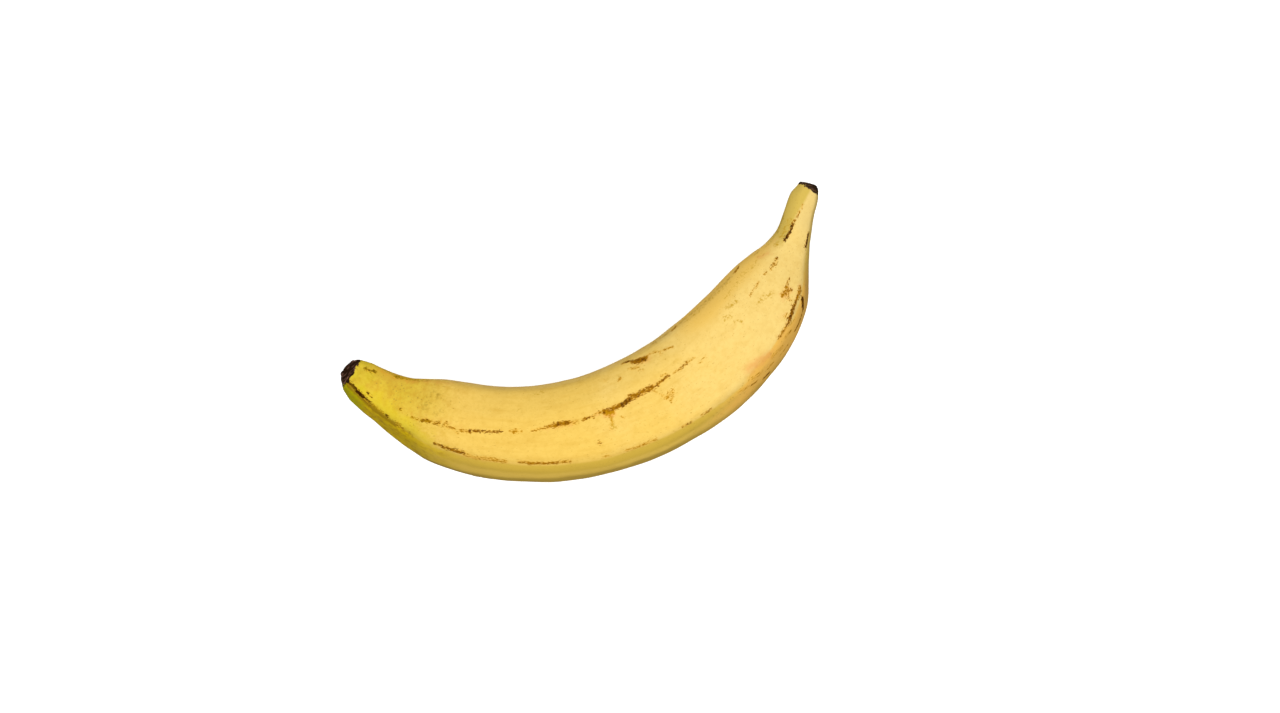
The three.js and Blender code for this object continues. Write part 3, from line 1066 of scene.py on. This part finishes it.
@dataclass(frozen=True)
class Fruit:
    """The whole plantain as one skin, closed at the blossom scar and at the cut stem."""

    shape: FruitShape = FruitShape()
    relief: Relief = Relief()
    tints: Tints = Tints()
    tips: DeadTips = DeadTips()
    bake_map: BakeMap = BakeMap()
    marks: tuple[Mark, ...] = ALL_MARKS
    # Each span is where it starts, where it ends and how many rings of points it has.
    spans: tuple[tuple[float, float, int], ...] = ((0, 14, 40), (14, 250, 360), (250, 272, 50))
    columns: int = 192  # points in each ring
    end_rings: int = 14  # on each end face
    face_lift: float = 2.0  # by which the straightened end faces bulge, so that patterns cross them
    path_step: float = 0.35  # between the points that a mark's path is traced by

    def rows(self) -> np.ndarray:
        """Returns how far along the fruit each ring of points is."""
        parts = [np.linspace(low, high, count, endpoint=False) for low, high, count in self.spans]
        return np.concatenate([*parts, [self.shape.bend.length]])

    def side_points(self) -> SkinPoints:
        """Lays out the side.

        Returns:
            Its points, with a row for each ring.
        """
        rows = self.rows()
        turn = np.linspace(0.0, TURN_ROUND, self.columns, endpoint=False)
        angle = np.broadcast_to(turn, (len(rows), self.columns))
        across, up = self.shape.outline(rows, angle)
        along = np.broadcast_to(rows[:, None], angle.shape)
        xyz = self.shape.points(rows, angle)
        around = np.roll(xyz, -1, axis=1) - np.roll(xyz, 1, axis=1)
        outward = np.cross(around, np.gradient(xyz, axis=0))
        outward /= np.linalg.norm(outward, axis=-1, keepdims=True)
        return SkinPoints(
            along=along,
            angle=angle,
            share=np.ones_like(across),
            place=np.full(angle.shape, Place.SIDE.value),
            xyz=xyz,
            outward=outward,
            straight=np.stack([along, across, up], axis=-1),
        )

    def end_points(self, side: SkinPoints, face: Place) -> SkinPoints:
        """Lays out an end face, with rings that shrink to its middle.

        Args:
            side: the side's points, with a row for each ring.
            face: which end face.

        Returns:
            The face's points, with a row for each ring.
        """
        at_blossom = face is Place.BLOSSOM_FACE
        row, next_row, forward = (0, 1, -1.0) if at_blossom else (-1, -2, 1.0)
        share = (1.0 - np.arange(1, self.end_rings + 1) / self.end_rings)[:, None, None]
        rim, flat_rim = side.xyz[row], side.straight[row]
        middle, flat_middle = rim.mean(0), flat_rim.mean(0)
        square = np.cross(rim[0] - middle, rim[self.columns // 4] - middle)
        ahead = rim - side.xyz[next_row]
        square *= np.sign(square @ ahead.mean(0)) / np.linalg.norm(square)
        bulge = self.shape.blossom_bulge if at_blossom else 0.0
        xyz = middle + (rim - middle) * share + square * (bulge * (1.0 - share**2))
        straight = flat_middle + (flat_rim - flat_middle) * share
        straight[..., 0] += forward * self.face_lift * (1.0 - share[..., 0])
        outward = side.outward[row] * share + square * (1.0 - share)
        outward /= np.linalg.norm(outward, axis=-1, keepdims=True)
        grid = (self.end_rings, self.columns)
        return SkinPoints(
            along=np.broadcast_to(side.along[row], grid),
            angle=np.broadcast_to(side.angle[row], grid),
            share=np.broadcast_to(share[..., 0], grid),
            place=np.full(grid, face.value),
            xyz=xyz,
            outward=outward,
            straight=straight,
        )

    def faces(self) -> np.ndarray:
        """Joins the points into four-cornered faces.

        Returns:
            Four point numbers for each face, in order round it, seen from outside.
        """
        row_count = len(self.rows())
        side = np.arange(row_count * self.columns).reshape(row_count, self.columns)
        size = self.end_rings * self.columns
        blossom = side.size + np.arange(size).reshape(self.end_rings, self.columns)
        cut = blossom + size
        bands = [side, np.vstack([side[-1:], cut]), np.vstack([blossom[::-1], side[:1]])]
        quads = []
        for band in bands:
            ahead = np.roll(band, -1, axis=1)
            quad = np.stack([band[:-1], band[1:], ahead[1:], ahead[:-1]], axis=-1)
            quads.append(quad.reshape(-1, quad.shape[-1]))
        return np.concatenate(quads)

    def trace(self, mark: Mark) -> np.ndarray:
        """Lays a mark's path on the smooth fruit.

        Args:
            mark: which one.

        Returns:
            Points of the path, one row each.
        """
        path = np.array(mark.path, float)
        steps = np.concatenate([[0.0], np.cumsum(np.hypot(*np.diff(path, axis=0).T))])
        stops = np.linspace(0.0, steps[-1], max(2, int(steps[-1] / self.path_step)))
        along = np.interp(stops, steps, path[:, 0])
        second = np.interp(stops, steps, path[:, 1])
        if mark.reading is ROUND:
            angle = np.radians(second)
        else:
            along, angle = self.shape.seen_place(along, second)
        return self.shape.points(along, angle[:, None])[:, 0]

    def paint(self, skin: SkinPoints) -> dict[str, np.ndarray]:
        """Reads every mark at every point.

        Args:
            skin: the smooth skin's points.

        Returns:
            For each kind of mark a value that is EDGE at its edge, and the scars' tone.
        """
        painted = {kind.attribute: np.zeros(len(skin.along)) for kind in MarkKind}
        tone = np.full(len(skin.along), Mark.tone)
        for mark in self.marks:
            line = self.trace(mark)
            half = mark.width / 2.0
            margin = half + mark.kind.fade
            low, high = line.min(0) - margin, line.max(0) + margin
            near = np.flatnonzero(np.all((skin.xyz > low) & (skin.xyz < high), axis=1))
            apart = np.linalg.norm(skin.xyz[near, None] - line[None], axis=-1).min(1)
            value = mark.strength * np.clip(EDGE + (half - apart) / mark.kind.fade, 0.0, 1.0)
            held = painted[mark.kind.attribute]
            if mark.kind is SCAR:
                tone[near] = np.where(value > held[near], mark.tone, tone[near])
            held[near] = np.maximum(held[near], value)
        return painted | {"tone": tone}

    def placed(self, xyz: np.ndarray, smooth: np.ndarray) -> np.ndarray:
        """Moves the fruit to where the frame has it.

        Args:
            xyz: the points with their relief, counted from the blossom scar.
            smooth: the smooth side's points, which the frame's solid follows.

        Returns:
            The points in the frame, in millimetres.
        """
        low, high = (np.array(corner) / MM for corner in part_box("plantain"))
        shift = (low + high) / 2.0 - (smooth.min(0) + smooth.max(0)) / 2.0
        shift[2] = low[2] - xyz[:, 2].min()
        return xyz + shift

    def build(self, material: bpy.types.Material) -> bpy.types.Object:
        """Builds the fruit's mesh in its place.

        Args:
            material: the finish of the whole skin.

        Returns:
            The new object.
        """
        side = self.side_points()
        ends = [self.end_points(side, face) for face in (Place.BLOSSOM_FACE, Place.CUT_FACE)]
        skin, faces = SkinPoints.join([side, *ends]), self.faces()
        values = self.paint(skin) | self.tints.areas(skin, self.shape) | self.tips.areas(skin)
        height = self.relief.heights(skin, self.shape, values[SCAR.attribute])
        xyz = self.placed(skin.xyz + skin.outward * height[:, None], skin.xyz[skin.on(Place.SIDE)])
        mesh = bpy.data.meshes.new("plantain_skin")
        mesh.from_pydata((xyz * MM).tolist(), [], faces.tolist())
        mesh.polygons.foreach_set("use_smooth", np.ones(len(faces), bool))
        uv = mesh.uv_layers.new(name="OFBake")
        uv.data.foreach_set("uv", self.bake_map.corners(faces, skin).ravel())
        straight = mesh.attributes.new("straight", "FLOAT_VECTOR", "POINT")
        straight.data.foreach_set("vector", skin.straight.ravel())
        for name, numbers in values.items():
            layer = mesh.attributes.new(name, "FLOAT", "POINT")
            layer.data.foreach_set("value", numbers)
        mesh.materials.append(material)
        mesh.validate()
        fruit = bpy.data.objects.new("plantain_skin", mesh)
        bpy.context.collection.objects.link(fruit)
        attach(fruit, "root")
        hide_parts("plantain")
        return fruit


# ---------------------------------------------------------------------------------------------
# Finishes
# ---------------------------------------------------------------------------------------------


@dataclass(frozen=True)
class Pattern:
    """Solid noise that shows where it is over a level."""

    size: float  # width of its lumps in millimetres
    detail: float  # how many finer layers it has
    low: float  # the level where it starts to show
    high: float  # the level where it is full
    top: float  # how strong it is when full


@dataclass(frozen=True)
class Drift:
    """Solid noise that moves a value up and down, which makes a border wander."""

    size: float  # width of its lumps in millimetres
    detail: float  # how many finer layers it has
    depth: float  # how far it moves the value


@dataclass
class Sight:
    """What the finishes of one material share: its tree and the places they read."""

    tree: bpy.types.NodeTree
    place: bpy.types.NodeSocket  # millimetres on the straightened fruit
    layer_weight: float = 0.55  # how strong each finer layer of noise is, next to the one before
    drift_border: tuple[float, float] = (0.08, 0.92)  # where a broad area starts and where it is full
    drift_limit: tuple[float, float] = (0.0, 0.12)  # keeps it off places that aren't in it at all

    def read(self, name: str) -> bpy.types.NodeSocket:
        """Reads one of the mesh's own values by its name."""
        return add_node(self.tree, "ShaderNodeAttribute", {"attribute_name": name}).outputs["Fac"]

    def stretched(self, along: float = 1.0, across: float = 1.0) -> bpy.types.NodeSocket:
        """Pulls the places, so that the patterns read there are longer along or across the fruit."""
        pull = {0: self.place, 1: (1.0 / along, 1.0 / across, 1.0 / across)}
        return add_node(self.tree, "ShaderNodeVectorMath", {"operation": "MULTIPLY"}, pull).outputs[0]

    def speckle(self, size: float, detail: float, source: Input | None = None) -> bpy.types.NodeSocket:
        """Draws solid noise.

        Args:
            size: the width of its lumps in millimetres.
            detail: how many finer layers it has.
            source: the places to read it at, if not the fruit's own.

        Returns:
            Values around 0.5.
        """
        inputs = {"Scale": 1.0 / size, "Detail": detail, "Roughness": self.layer_weight}
        inputs["Vector"] = self.place if source is None else source
        return add_node(self.tree, "ShaderNodeTexNoise", {}, inputs).outputs["Fac"]

    def between(self, value: Input, low: float, high: float, top: float = 1.0) -> bpy.types.NodeSocket:
        """Turns a value into a soft-edged mask.

        Args:
            value: what is measured.
            low: where the mask starts.
            high: where it is full, below low for a mask that falls.
            top: how strong it is when full.

        Returns:
            The mask.
        """
        settings = {"interpolation_type": "SMOOTHSTEP"}
        inputs = {"Value": value, "From Min": low, "From Max": high, "To Min": 0.0, "To Max": top}
        return add_node(self.tree, "ShaderNodeMapRange", settings, inputs).outputs["Result"]

    def pattern(self, pattern: Pattern, source: Input | None = None) -> bpy.types.NodeSocket:
        """Draws a pattern as a mask, at the fruit's own places or at others."""
        speckle = self.speckle(pattern.size, pattern.detail, source)
        return self.between(speckle, pattern.low, pattern.high, pattern.top)

    def times(self, one: Input, other: Input) -> bpy.types.NodeSocket:
        """Multiplies two masks, so that only what is in both is left."""
        inputs = {0: one, 1: other}
        return add_node(self.tree, "ShaderNodeMath", {"operation": "MULTIPLY"}, inputs).outputs[0]

    def shifted(self, value: Input, noise_value: Input, depth: float) -> bpy.types.NodeSocket:
        """Moves a value up and down with noise.

        Args:
            value: what is moved.
            noise_value: noise around 0.5.
            depth: how far it moves it.

        Returns:
            The moved value.
        """
        push = {0: noise_value, 1: depth, 2: -0.5 * depth}
        moved = add_node(self.tree, "ShaderNodeMath", {"operation": "MULTIPLY_ADD"}, push).outputs[0]
        return add_node(self.tree, "ShaderNodeMath", {"operation": "ADD"}, {0: value, 1: moved}).outputs[0]

    def drifted(self, name: str, drift: Drift, source: Input | None = None) -> bpy.types.NodeSocket:
        """Reads one of the mesh's own values and moves it up and down with noise of its own.

        Args:
            name: the mesh value.
            drift: the noise.
            source: the places to read the noise at, if not the fruit's own.

        Returns:
            The moved value.
        """
        return self.shifted(self.read(name), self.speckle(drift.size, drift.detail, source), drift.depth)

    def ragged(self, value: Input, soft: float) -> bpy.types.NodeSocket:
        """Cuts a mask out of a value that noise has moved, soft being half its edge's width."""
        return self.between(value, EDGE - soft, EDGE + soft)

    def area(self, name: str, cloud: Input, depth: float, top: float) -> bpy.types.NodeSocket:
        """Reads a broad area of colour and lets its border drift with some noise.

        Args:
            name: the mesh value that marks the area out.
            cloud: noise around 0.5.
            depth: how far the noise moves the border.
            top: how strong the area is where it is full.

        Returns:
            The mask.
        """
        drifting = self.between(self.shifted(self.read(name), cloud, depth), *self.drift_border, top)
        return self.times(drifting, self.between(self.read(name), *self.drift_limit))

    def blend(self, factor: Input, under: Input, over: Input) -> bpy.types.NodeSocket:
        """Lays one colour over another.

        Args:
            factor: how much of the upper one shows.
            under: the lower colour.
            over: the upper colour.

        Returns:
            The colour that shows.
        """
        inputs = {0: factor, 6: under, 7: over}
        return add_node(self.tree, "ShaderNodeMix", {"data_type": "RGBA"}, inputs).outputs[2]

    def blend_value(self, factor: Input, under: Input, over: Input) -> bpy.types.NodeSocket:
        """Lays one number over another, as blend does for colours."""
        inputs = {0: factor, 2: under, 3: over}
        return add_node(self.tree, "ShaderNodeMix", {"data_type": "FLOAT"}, inputs).outputs[0]

    def by_age(self, ripe: str, young: str) -> bpy.types.NodeSocket:
        """Mixes a colour for ripe peel and one for the less ripe peel near the blossom end."""
        return self.blend(self.read("young"), linear(ripe), linear(young))


class Cloud(Enum):
    """Noise that makes the borders of broad areas drift, by the width of its lumps."""

    BROAD = 26.0
    FINE = 6.0


MOTTLES = Pattern(2.2, 3.0, 0.42, 0.68, 0.75)


@dataclass(frozen=True)
class Layer:
    """One broad area's colour, laid over what is under it."""

    area: str  # the mesh value that marks it out
    colour: str
    cloud: Cloud
    depth: float  # how far the cloud moves its border
    top: float = 1.0  # how strong it is where it is full
    mottled: str | None = None  # a second colour that shows through it in mottles

    def lay(self, sight: Sight, clouds: dict[Cloud, Input], body: Input) -> bpy.types.NodeSocket:
        """Lays the colour.

        Args:
            sight: the material being made.
            clouds: both noises, drawn once for all the layers.
            body: the colour under it.

        Returns:
            The colour that shows.
        """
        colour = linear(self.colour)
        if self.mottled:
            colour = sight.blend(sight.pattern(MOTTLES), colour, linear(self.mottled))
        return sight.blend(sight.area(self.area, clouds[self.cloud], self.depth, self.top), body, colour)


@dataclass(frozen=True)
class RipePeel:
    """Sound skin of a ripe plantain, as it grew, with its thin natural wax.

    It gives the eye a warm mottled yellow with a broad soft gloss, greener towards the blossom end, with
    painted shade below the belly ridge and on the hollow side, and a painted highlight where it is creamy.
    """

    yellow: str = "d5b256"
    deep: str = "b88c28"
    pore: str = "94742c"
    ages: tuple[Layer, ...] = (
        # the peel's paler creamy colour, with a painted highlight laid into it
        Layer("cream", "d9bc70", Cloud.BROAD, 0.8),
        Layer("young", "c8ac36", Cloud.BROAD, 0.5),
    )
    # The real fibres are 0.3 mm wide, too fine to show, so these are drawn coarser.
    fibres: Pattern = Pattern(2.4, 3.0, 0.42, 0.85, 0.32)
    fibre_fade: tuple[float, float] = (1.3, 0.2)  # they are fainter where the peel is creamy or carries the painted highlight
    specks: tuple[Pattern, ...] = (
        Pattern(1.5, 3.0, 0.4, 0.7, 0.46),
        Pattern(3.6, 4.0, 0.45, 0.68, 0.6),
    )
    sides: tuple[Layer, ...] = (
        # painted shade: the hollow side greyed and darkened
        Layer("hollow", "ccac62", Cloud.BROAD, 0.5, 0.6),
        Layer("belly", "d4b24a", Cloud.FINE, 0.5, 0.7),
        Layer("tan", "e0aa4e", Cloud.FINE, 0.6, 0.75),
        # painted shade: a darker band just under the belly's ridge
        Layer("dusk", "c0a03c", Cloud.FINE, 0.5, 0.85),
        Layer("gold", "d6ac4c", Cloud.BROAD, 0.5, 0.75),
        Layer("lime", "ccb828", Cloud.FINE, 1.6, 0.55),
        Layer("flush", "b59034", Cloud.FINE, 1.2, 0.5),
        Layer("green", "c6a800", Cloud.FINE, 0.5, 0.92, mottled="a07c00"),
        Layer("sprig", "a8a400", Cloud.FINE, 0.5, 0.85),
        # partly the neck's own olive colour, partly painted shade on its hollow side
        Layer("olive", "b89e46", Cloud.FINE, 0.4, 0.9),
        Layer("stalk", "c8b070", Cloud.FINE, 0.5, 0.45),
        # painted shade: dark olive where the belly turns under
        Layer("lower", "9c8030", Cloud.FINE, 0.6, 0.8),
    )
    cloud_detail: float = 3.0
    pore_size: float = 1.7
    pore_edge: tuple[float, float] = (0.3, 0.1)  # in shares of the distance between two pores
    pore_patches: Pattern = Pattern(8.0, 2.0, 0.4, 0.65, 0.75)
    grain_stretch: float = 7.0  # the peel's fibres and grain run along the fruit
    # The grain and the patches of wax are noise, by its size and its detail.
    fine_grain: tuple[float, float] = (1.1, 3.0)
    coarse_grain: tuple[float, float] = (2.6, 2.0)
    wax_patches: tuple[float, float] = (9.0, 2.0)
    roughness: tuple[float, float] = (0.40, 0.52)  # from waxy patches to dull ones

    def colour(self, sight: Sight) -> bpy.types.NodeSocket:
        """Mixes the sound skin's colour.

        Args:
            sight: the material being made.

        Returns:
            The colour.
        """
        clouds = {cloud: sight.speckle(cloud.value, self.cloud_detail) for cloud in Cloud}
        body = linear(self.yellow)
        for layer in self.ages:
            body = layer.lay(sight, clouds, body)
        fibres = sight.pattern(self.fibres, sight.stretched(along=self.grain_stretch))
        fibres = sight.times(fibres, sight.between(sight.read("cream"), *self.fibre_fade))
        body = sight.blend(fibres, body, linear(self.deep))
        speckled = sight.read("speckled")
        for specks in self.specks:
            body = sight.blend(sight.times(sight.pattern(specks), speckled), body, linear(self.deep))
        for layer in self.sides:
            body = layer.lay(sight, clouds, body)
        cells = {"Vector": sight.place, "Scale": 1.0 / self.pore_size}
        pores = add_node(sight.tree, "ShaderNodeTexVoronoi", {}, cells).outputs["Distance"]
        dots = sight.times(sight.between(pores, *self.pore_edge), sight.pattern(self.pore_patches))
        return sight.blend(sight.times(dots, speckled), body, linear(self.pore))

    def dullness(self, sight: Sight) -> bpy.types.NodeSocket:
        """Varies the roughness with the patches of wax."""
        return sight.blend_value(sight.speckle(*self.wax_patches), *self.roughness)

    def height(self, sight: Sight) -> bpy.types.NodeSocket:
        """Draws the fine grain of the skin, from 0 to 1."""
        grain = sight.speckle(*self.fine_grain, sight.stretched(along=self.grain_stretch))
        return sight.blend_value(0.5, grain, sight.speckle(*self.coarse_grain))


@dataclass(frozen=True)
class CorkScar:
    """Rubbed and split skin that healed to dry cork.

    It shows as matt streaks, broken into flecks, from golden to dark brown, with a warm rim.
    """

    light: str = "a87608"
    middle: str = "7c4a04"
    young_light: str = "9c7e04"
    young_middle: str = "6e5204"
    dark: str = "301000"
    rim: str = "cf9420"
    roughness: float = 0.72
    flecks: Drift = Drift(0.5, 3.0, 2.3)
    fleck_stretch: float = 2.4  # they lie along the fruit
    fleck_edge: float = 0.2  # how soft a fleck's edge is
    tone_drift: Drift = Drift(1.3, 2.0, 1.0)
    middle_tone: tuple[float, float] = (0.1, 0.9)
    dark_tone: tuple[float, float] = (0.5, 1.1)
    rim_drift: Drift = Drift(1.6, 2.0, 0.6)
    rim_band: tuple[float, float, float] = (0.15, 0.6, 0.32)  # where it starts, is full, and how full

    def mask(self, sight: Sight) -> bpy.types.NodeSocket:
        """Finds where the scars are, broken into flecks."""
        flecks = sight.drifted("scar", self.flecks, sight.stretched(along=self.fleck_stretch))
        return sight.ragged(flecks, self.fleck_edge)

    def colour(self, sight: Sight) -> bpy.types.NodeSocket:
        """Mixes the scars' colour by their tone, more olive where the peel is less ripe.

        Args:
            sight: the material being made.

        Returns:
            The colour.
        """
        tone = sight.drifted("tone", self.tone_drift)
        light = sight.by_age(self.light, self.young_light)
        middle = sight.by_age(self.middle, self.young_middle)
        brown = sight.blend(sight.between(tone, *self.middle_tone), light, middle)
        return sight.blend(sight.between(tone, *self.dark_tone), brown, linear(self.dark))

    def rims(self, sight: Sight, body: bpy.types.NodeSocket) -> bpy.types.NodeSocket:
        """Warms the sound skin close to the scars.

        Args:
            sight: the material being made.
            body: the sound skin's colour.

        Returns:
            The colour.
        """
        near = sight.drifted("scar", self.rim_drift)
        return sight.blend(sight.between(near, *self.rim_band), body, linear(self.rim))


@dataclass(frozen=True)
class Bruise:
    """Skin that turned warm and brownish under a knock or a rub, still smooth."""

    warm: str = "cf9550"
    young: str = "c88c28"
    rubbed: str = "ac8418"
    seam: str = "87660c"
    rub_drift: Drift = Drift(1.1, 3.0, 1.5)
    rub_edge: float = 0.3  # how soft a fleck's edge is
    rub_top: float = 0.8
    seam_drift: Drift = Drift(1.6, 3.0, 1.4)
    seam_band: tuple[float, float, float] = (0.15, 0.85, 0.75)  # where it starts, is full, and how full
    stain_drift: Drift = Drift(2.2, 3.0, 0.8)
    stain_top: float = 0.85

    def colour(self, sight: Sight, body: bpy.types.NodeSocket) -> bpy.types.NodeSocket:
        """Lays the stains and rubs over the sound skin.

        Args:
            sight: the material being made.
            body: the sound skin's colour.

        Returns:
            The colour.
        """
        flecks = sight.ragged(sight.drifted("smudge", self.rub_drift), self.rub_edge)
        body = sight.blend(sight.between(flecks, 0.0, 1.0, self.rub_top), body, linear(self.rubbed))
        seam = sight.between(sight.drifted("seam", self.seam_drift), *self.seam_band)
        body = sight.blend(seam, body, linear(self.seam))
        cloud = sight.speckle(self.stain_drift.size, self.stain_drift.detail)
        stain = sight.area("stain", cloud, self.stain_drift.depth, self.stain_top)
        return sight.blend(stain, body, sight.by_age(self.warm, self.young))


@dataclass(frozen=True)
class DeadEnd:
    """Dried black tissue, at the blossom scar and where the stem was cut: matt and fibrous."""

    attribute: str
    dark: str = "1c0c08"
    light: str = "6e4e42"
    roughness: float = 0.85
    torn_edge: Drift = Drift(1.6, 3.0, 1.3)
    edge: float = 0.06  # how soft the torn edge is
    strands: Pattern = Pattern(0.8, 3.0, 0.48, 0.64, 0.8)
    strand_stretch: float = 5.0  # they run round the end

    def mask(self, sight: Sight) -> bpy.types.NodeSocket:
        """Finds where the dead tissue is, with a torn edge."""
        return sight.ragged(sight.drifted(self.attribute, self.torn_edge), self.edge)

    def colour(self, sight: Sight) -> bpy.types.NodeSocket:
        """Mixes dark tissue with paler strands."""
        strands = sight.pattern(self.strands, sight.stretched(across=self.strand_stretch))
        return sight.blend(strands, linear(self.dark), linear(self.light))


@dataclass(frozen=True)
class PeelMaterial:
    """The whole skin: a ripe plantain's waxy peel with cork scars, bruises and two dead ends."""

    sound: RipePeel = RipePeel()
    scar: CorkScar = CorkScar()
    bruise: Bruise = Bruise()
    blossom: DeadEnd = DeadEnd("blossom")
    cut: DeadEnd = DeadEnd("cut", dark="20140e", light="5a4030")
    bump_depth: float = 0.06  # of the skin's grain
    bump_strength: float = 0.6
    ior: float = 1.45  # plant wax
    gloss: float = 0.16  # the wax is thin and dusty, so it shines less than a clean coat
    wax: str = "ffd45c"

    def build(self) -> bpy.types.Material:
        """Builds the material.

        Returns:
            The new material.
        """
        material = bpy.data.materials.new("waxy_ripe_plantain_peel")
        material.use_nodes = True
        tree = material.node_tree
        tree.nodes.clear()
        place = add_node(tree, "ShaderNodeAttribute", {"attribute_name": "straight"}).outputs["Vector"]
        sight = Sight(tree, place)
        colour = self.scar.rims(sight, self.bruise.colour(sight, self.sound.colour(sight)))
        roughness = self.sound.dullness(sight)
        for finish in (self.scar, self.blossom, self.cut):
            mask = finish.mask(sight)
            colour = sight.blend(mask, colour, finish.colour(sight))
            roughness = sight.blend_value(mask, roughness, finish.roughness)
        bump_inputs = {
            "Height": self.sound.height(sight),
            "Distance": self.bump_depth * MM,
            "Strength": self.bump_strength,
        }
        skin_inputs = {
            "Base Color": colour,
            "Roughness": roughness,
            "IOR": self.ior,
            "Normal": add_node(tree, "ShaderNodeBump", {}, bump_inputs).outputs["Normal"],
            "Specular IOR Level": self.gloss,
            "Specular Tint": linear(self.wax),
        }
        skin = add_node(tree, "ShaderNodeBsdfPrincipled", {}, skin_inputs).outputs["BSDF"]
        add_node(tree, "ShaderNodeOutputMaterial", {}, {"Surface": skin})
        return material


# ---------------------------------------------------------------------------------------------
# Setting
# ---------------------------------------------------------------------------------------------


@dataclass(frozen=True)
class SoftLamp:
    """A square soft box that points at the fruit."""

    name: str
    azimuth: float  # degrees round from the image's right, anticlockwise in the image
    elevation: float
    distance: float
    side: float
    power: float  # watts
    colour: str = "ffffff"


@dataclass(frozen=True)
class Studio:
    """A pale plain floor, soft lamps and a camera that looks straight down."""

    image_turn: float = 22.045  # degrees by which the fruit's +X is turned up from the image's right
    aim: tuple[float, float] = (13.56, -0.87)  # where the image's middle is, on the surface
    frame_width: float = 576.0  # of the image, at the height of the fruit's widest part
    widest_height: float = 22.0
    lens: float = 300.0
    sensor: float = 36.0
    sight_limit: float = 100000.0
    floor_side: float = 60000.0
    floor_colour: str = "f3f3f3"
    floor_roughness: float = 0.9
    floor_glow: float = 0.4
    glow_colour: str = "ffffff"
    ambient: float = 0.6
    below: float = 0.15  # share of the surroundings' light that comes from below
    horizon: tuple[float, float] = (-0.25, 0.15)  # heights of view between which it fades in
    lamps: tuple[SoftLamp, ...] = (
        SoftLamp("key_lamp", -68.0, 53.0, 1600.0, 1000.0, 19.5, "fffdf8"),
        SoftLamp("fill_lamp", 110.0, 42.0, 2000.0, 1200.0, 24.0),
    )

    def image_frame(self) -> Matrix:
        """Returns the turn that lays the image's right and up on the surface."""
        return Matrix.Rotation(math.radians(-self.image_turn), 4, "Z")

    def build_floor(self) -> bpy.types.Object:
        """Builds the floor, a sheet of cast white acrylic lit from behind, pale and even to the eye.

        Returns:
            The floor.
        """
        half = self.floor_side * MM / 2.0
        corners = [(-half, -half, 0.0), (half, -half, 0.0), (half, half, 0.0), (-half, half, 0.0)]
        mesh = bpy.data.meshes.new("floor")
        mesh.from_pydata(corners, [], [(0, 1, 2, 3)])
        material = bpy.data.materials.new("backlit_white_acrylic")
        material.use_nodes = True
        shader = material.node_tree.nodes["Principled BSDF"]
        values = {
            "Base Color": linear(self.floor_colour),
            "Roughness": self.floor_roughness,
            "Emission Color": linear(self.glow_colour),
            "Emission Strength": self.floor_glow,
        }
        for name, value in values.items():
            shader.inputs[name].default_value = value
        mesh.materials.append(material)
        floor = bpy.data.objects.new("floor", mesh)
        bpy.context.collection.objects.link(floor)
        floor.visible_diffuse = False
        floor.visible_glossy = False
        return floor

    def build_lamps(self) -> None:
        """Builds the lamps, each turned to the fruit."""
        for lamp in self.lamps:
            data = bpy.data.lights.new(lamp.name, "AREA")
            data.shape = "SQUARE"
            data.size = lamp.side * MM
            data.energy = lamp.power
            data.color = linear(lamp.colour)[:3]
            light = bpy.data.objects.new(lamp.name, data)
            turn, rise = math.radians(lamp.azimuth), math.radians(lamp.elevation)
            level = math.cos(rise)
            way = Vector((level * math.cos(turn), level * math.sin(turn), math.sin(rise)))
            away = self.image_frame() @ (way * lamp.distance * MM)
            light.location = away
            light.rotation_euler = away.to_track_quat("Z", "Y").to_euler()
            light.visible_camera = False
            bpy.context.collection.objects.link(light)

    def build_surroundings(self) -> None:
        """Builds the pale room, which gives less light from below."""
        world = bpy.data.worlds.new("white_room")
        world.use_nodes = True
        tree = world.node_tree
        room = tree.nodes["Background"]
        room.inputs["Strength"].default_value = self.ambient
        view = add_node(tree, "ShaderNodeTexCoord").outputs["Generated"]
        height = add_node(tree, "ShaderNodeSeparateXYZ", {}, {0: view}).outputs["Z"]
        low, high = self.horizon
        fade = {"Value": height, "From Min": low, "From Max": high, "To Min": self.below, "To Max": 1.0}
        level = add_node(tree, "ShaderNodeMapRange", {}, fade).outputs["Result"]
        tree.links.new(level, room.inputs["Color"])
        bpy.context.scene.world = world

    def build_camera(self) -> bpy.types.Object:
        """Builds the camera over the fruit.

        Returns:
            The camera.
        """
        data = bpy.data.cameras.new("camera")
        data.lens = self.lens
        data.sensor_width = self.sensor
        data.clip_end = self.sight_limit * MM
        camera = bpy.data.objects.new("camera", data)
        rise = self.widest_height + self.frame_width * self.lens / self.sensor
        where = Matrix.Translation(Vector((*self.aim, rise)) * MM)
        camera.matrix_world = where @ self.image_frame()
        bpy.context.collection.objects.link(camera)
        bpy.context.scene.camera = camera
        return camera

    def set_film(self) -> None:
        """Sets how light turns into colour: plainly, with nothing rolled off."""
        view = bpy.context.scene.view_settings
        view.view_transform = "Standard"
        view.look = "None"
        view.exposure = 0.0


def main() -> None:
    """Builds the fruit, its setting and the camera, in that order."""
    logging.basicConfig(level=logging.INFO, format="%(name)s: %(message)s")
    fruit = Fruit().build(PeelMaterial().build())
    LOG.info("%s: %d faces, %d marks", fruit.name, len(fruit.data.polygons), len(ALL_MARKS))
    studio = Studio()
    LOG.info("%s: stage", studio.build_floor().name)
    studio.build_lamps()
    LOG.info("lamps: %s", ", ".join(lamp.name for lamp in studio.lamps))
    studio.build_surroundings()
    LOG.info("surroundings: %s", bpy.context.scene.world.name)
    LOG.info("%s: straight down", studio.build_camera().name)
    studio.set_film()


if __name__ == "__main__":
    main()
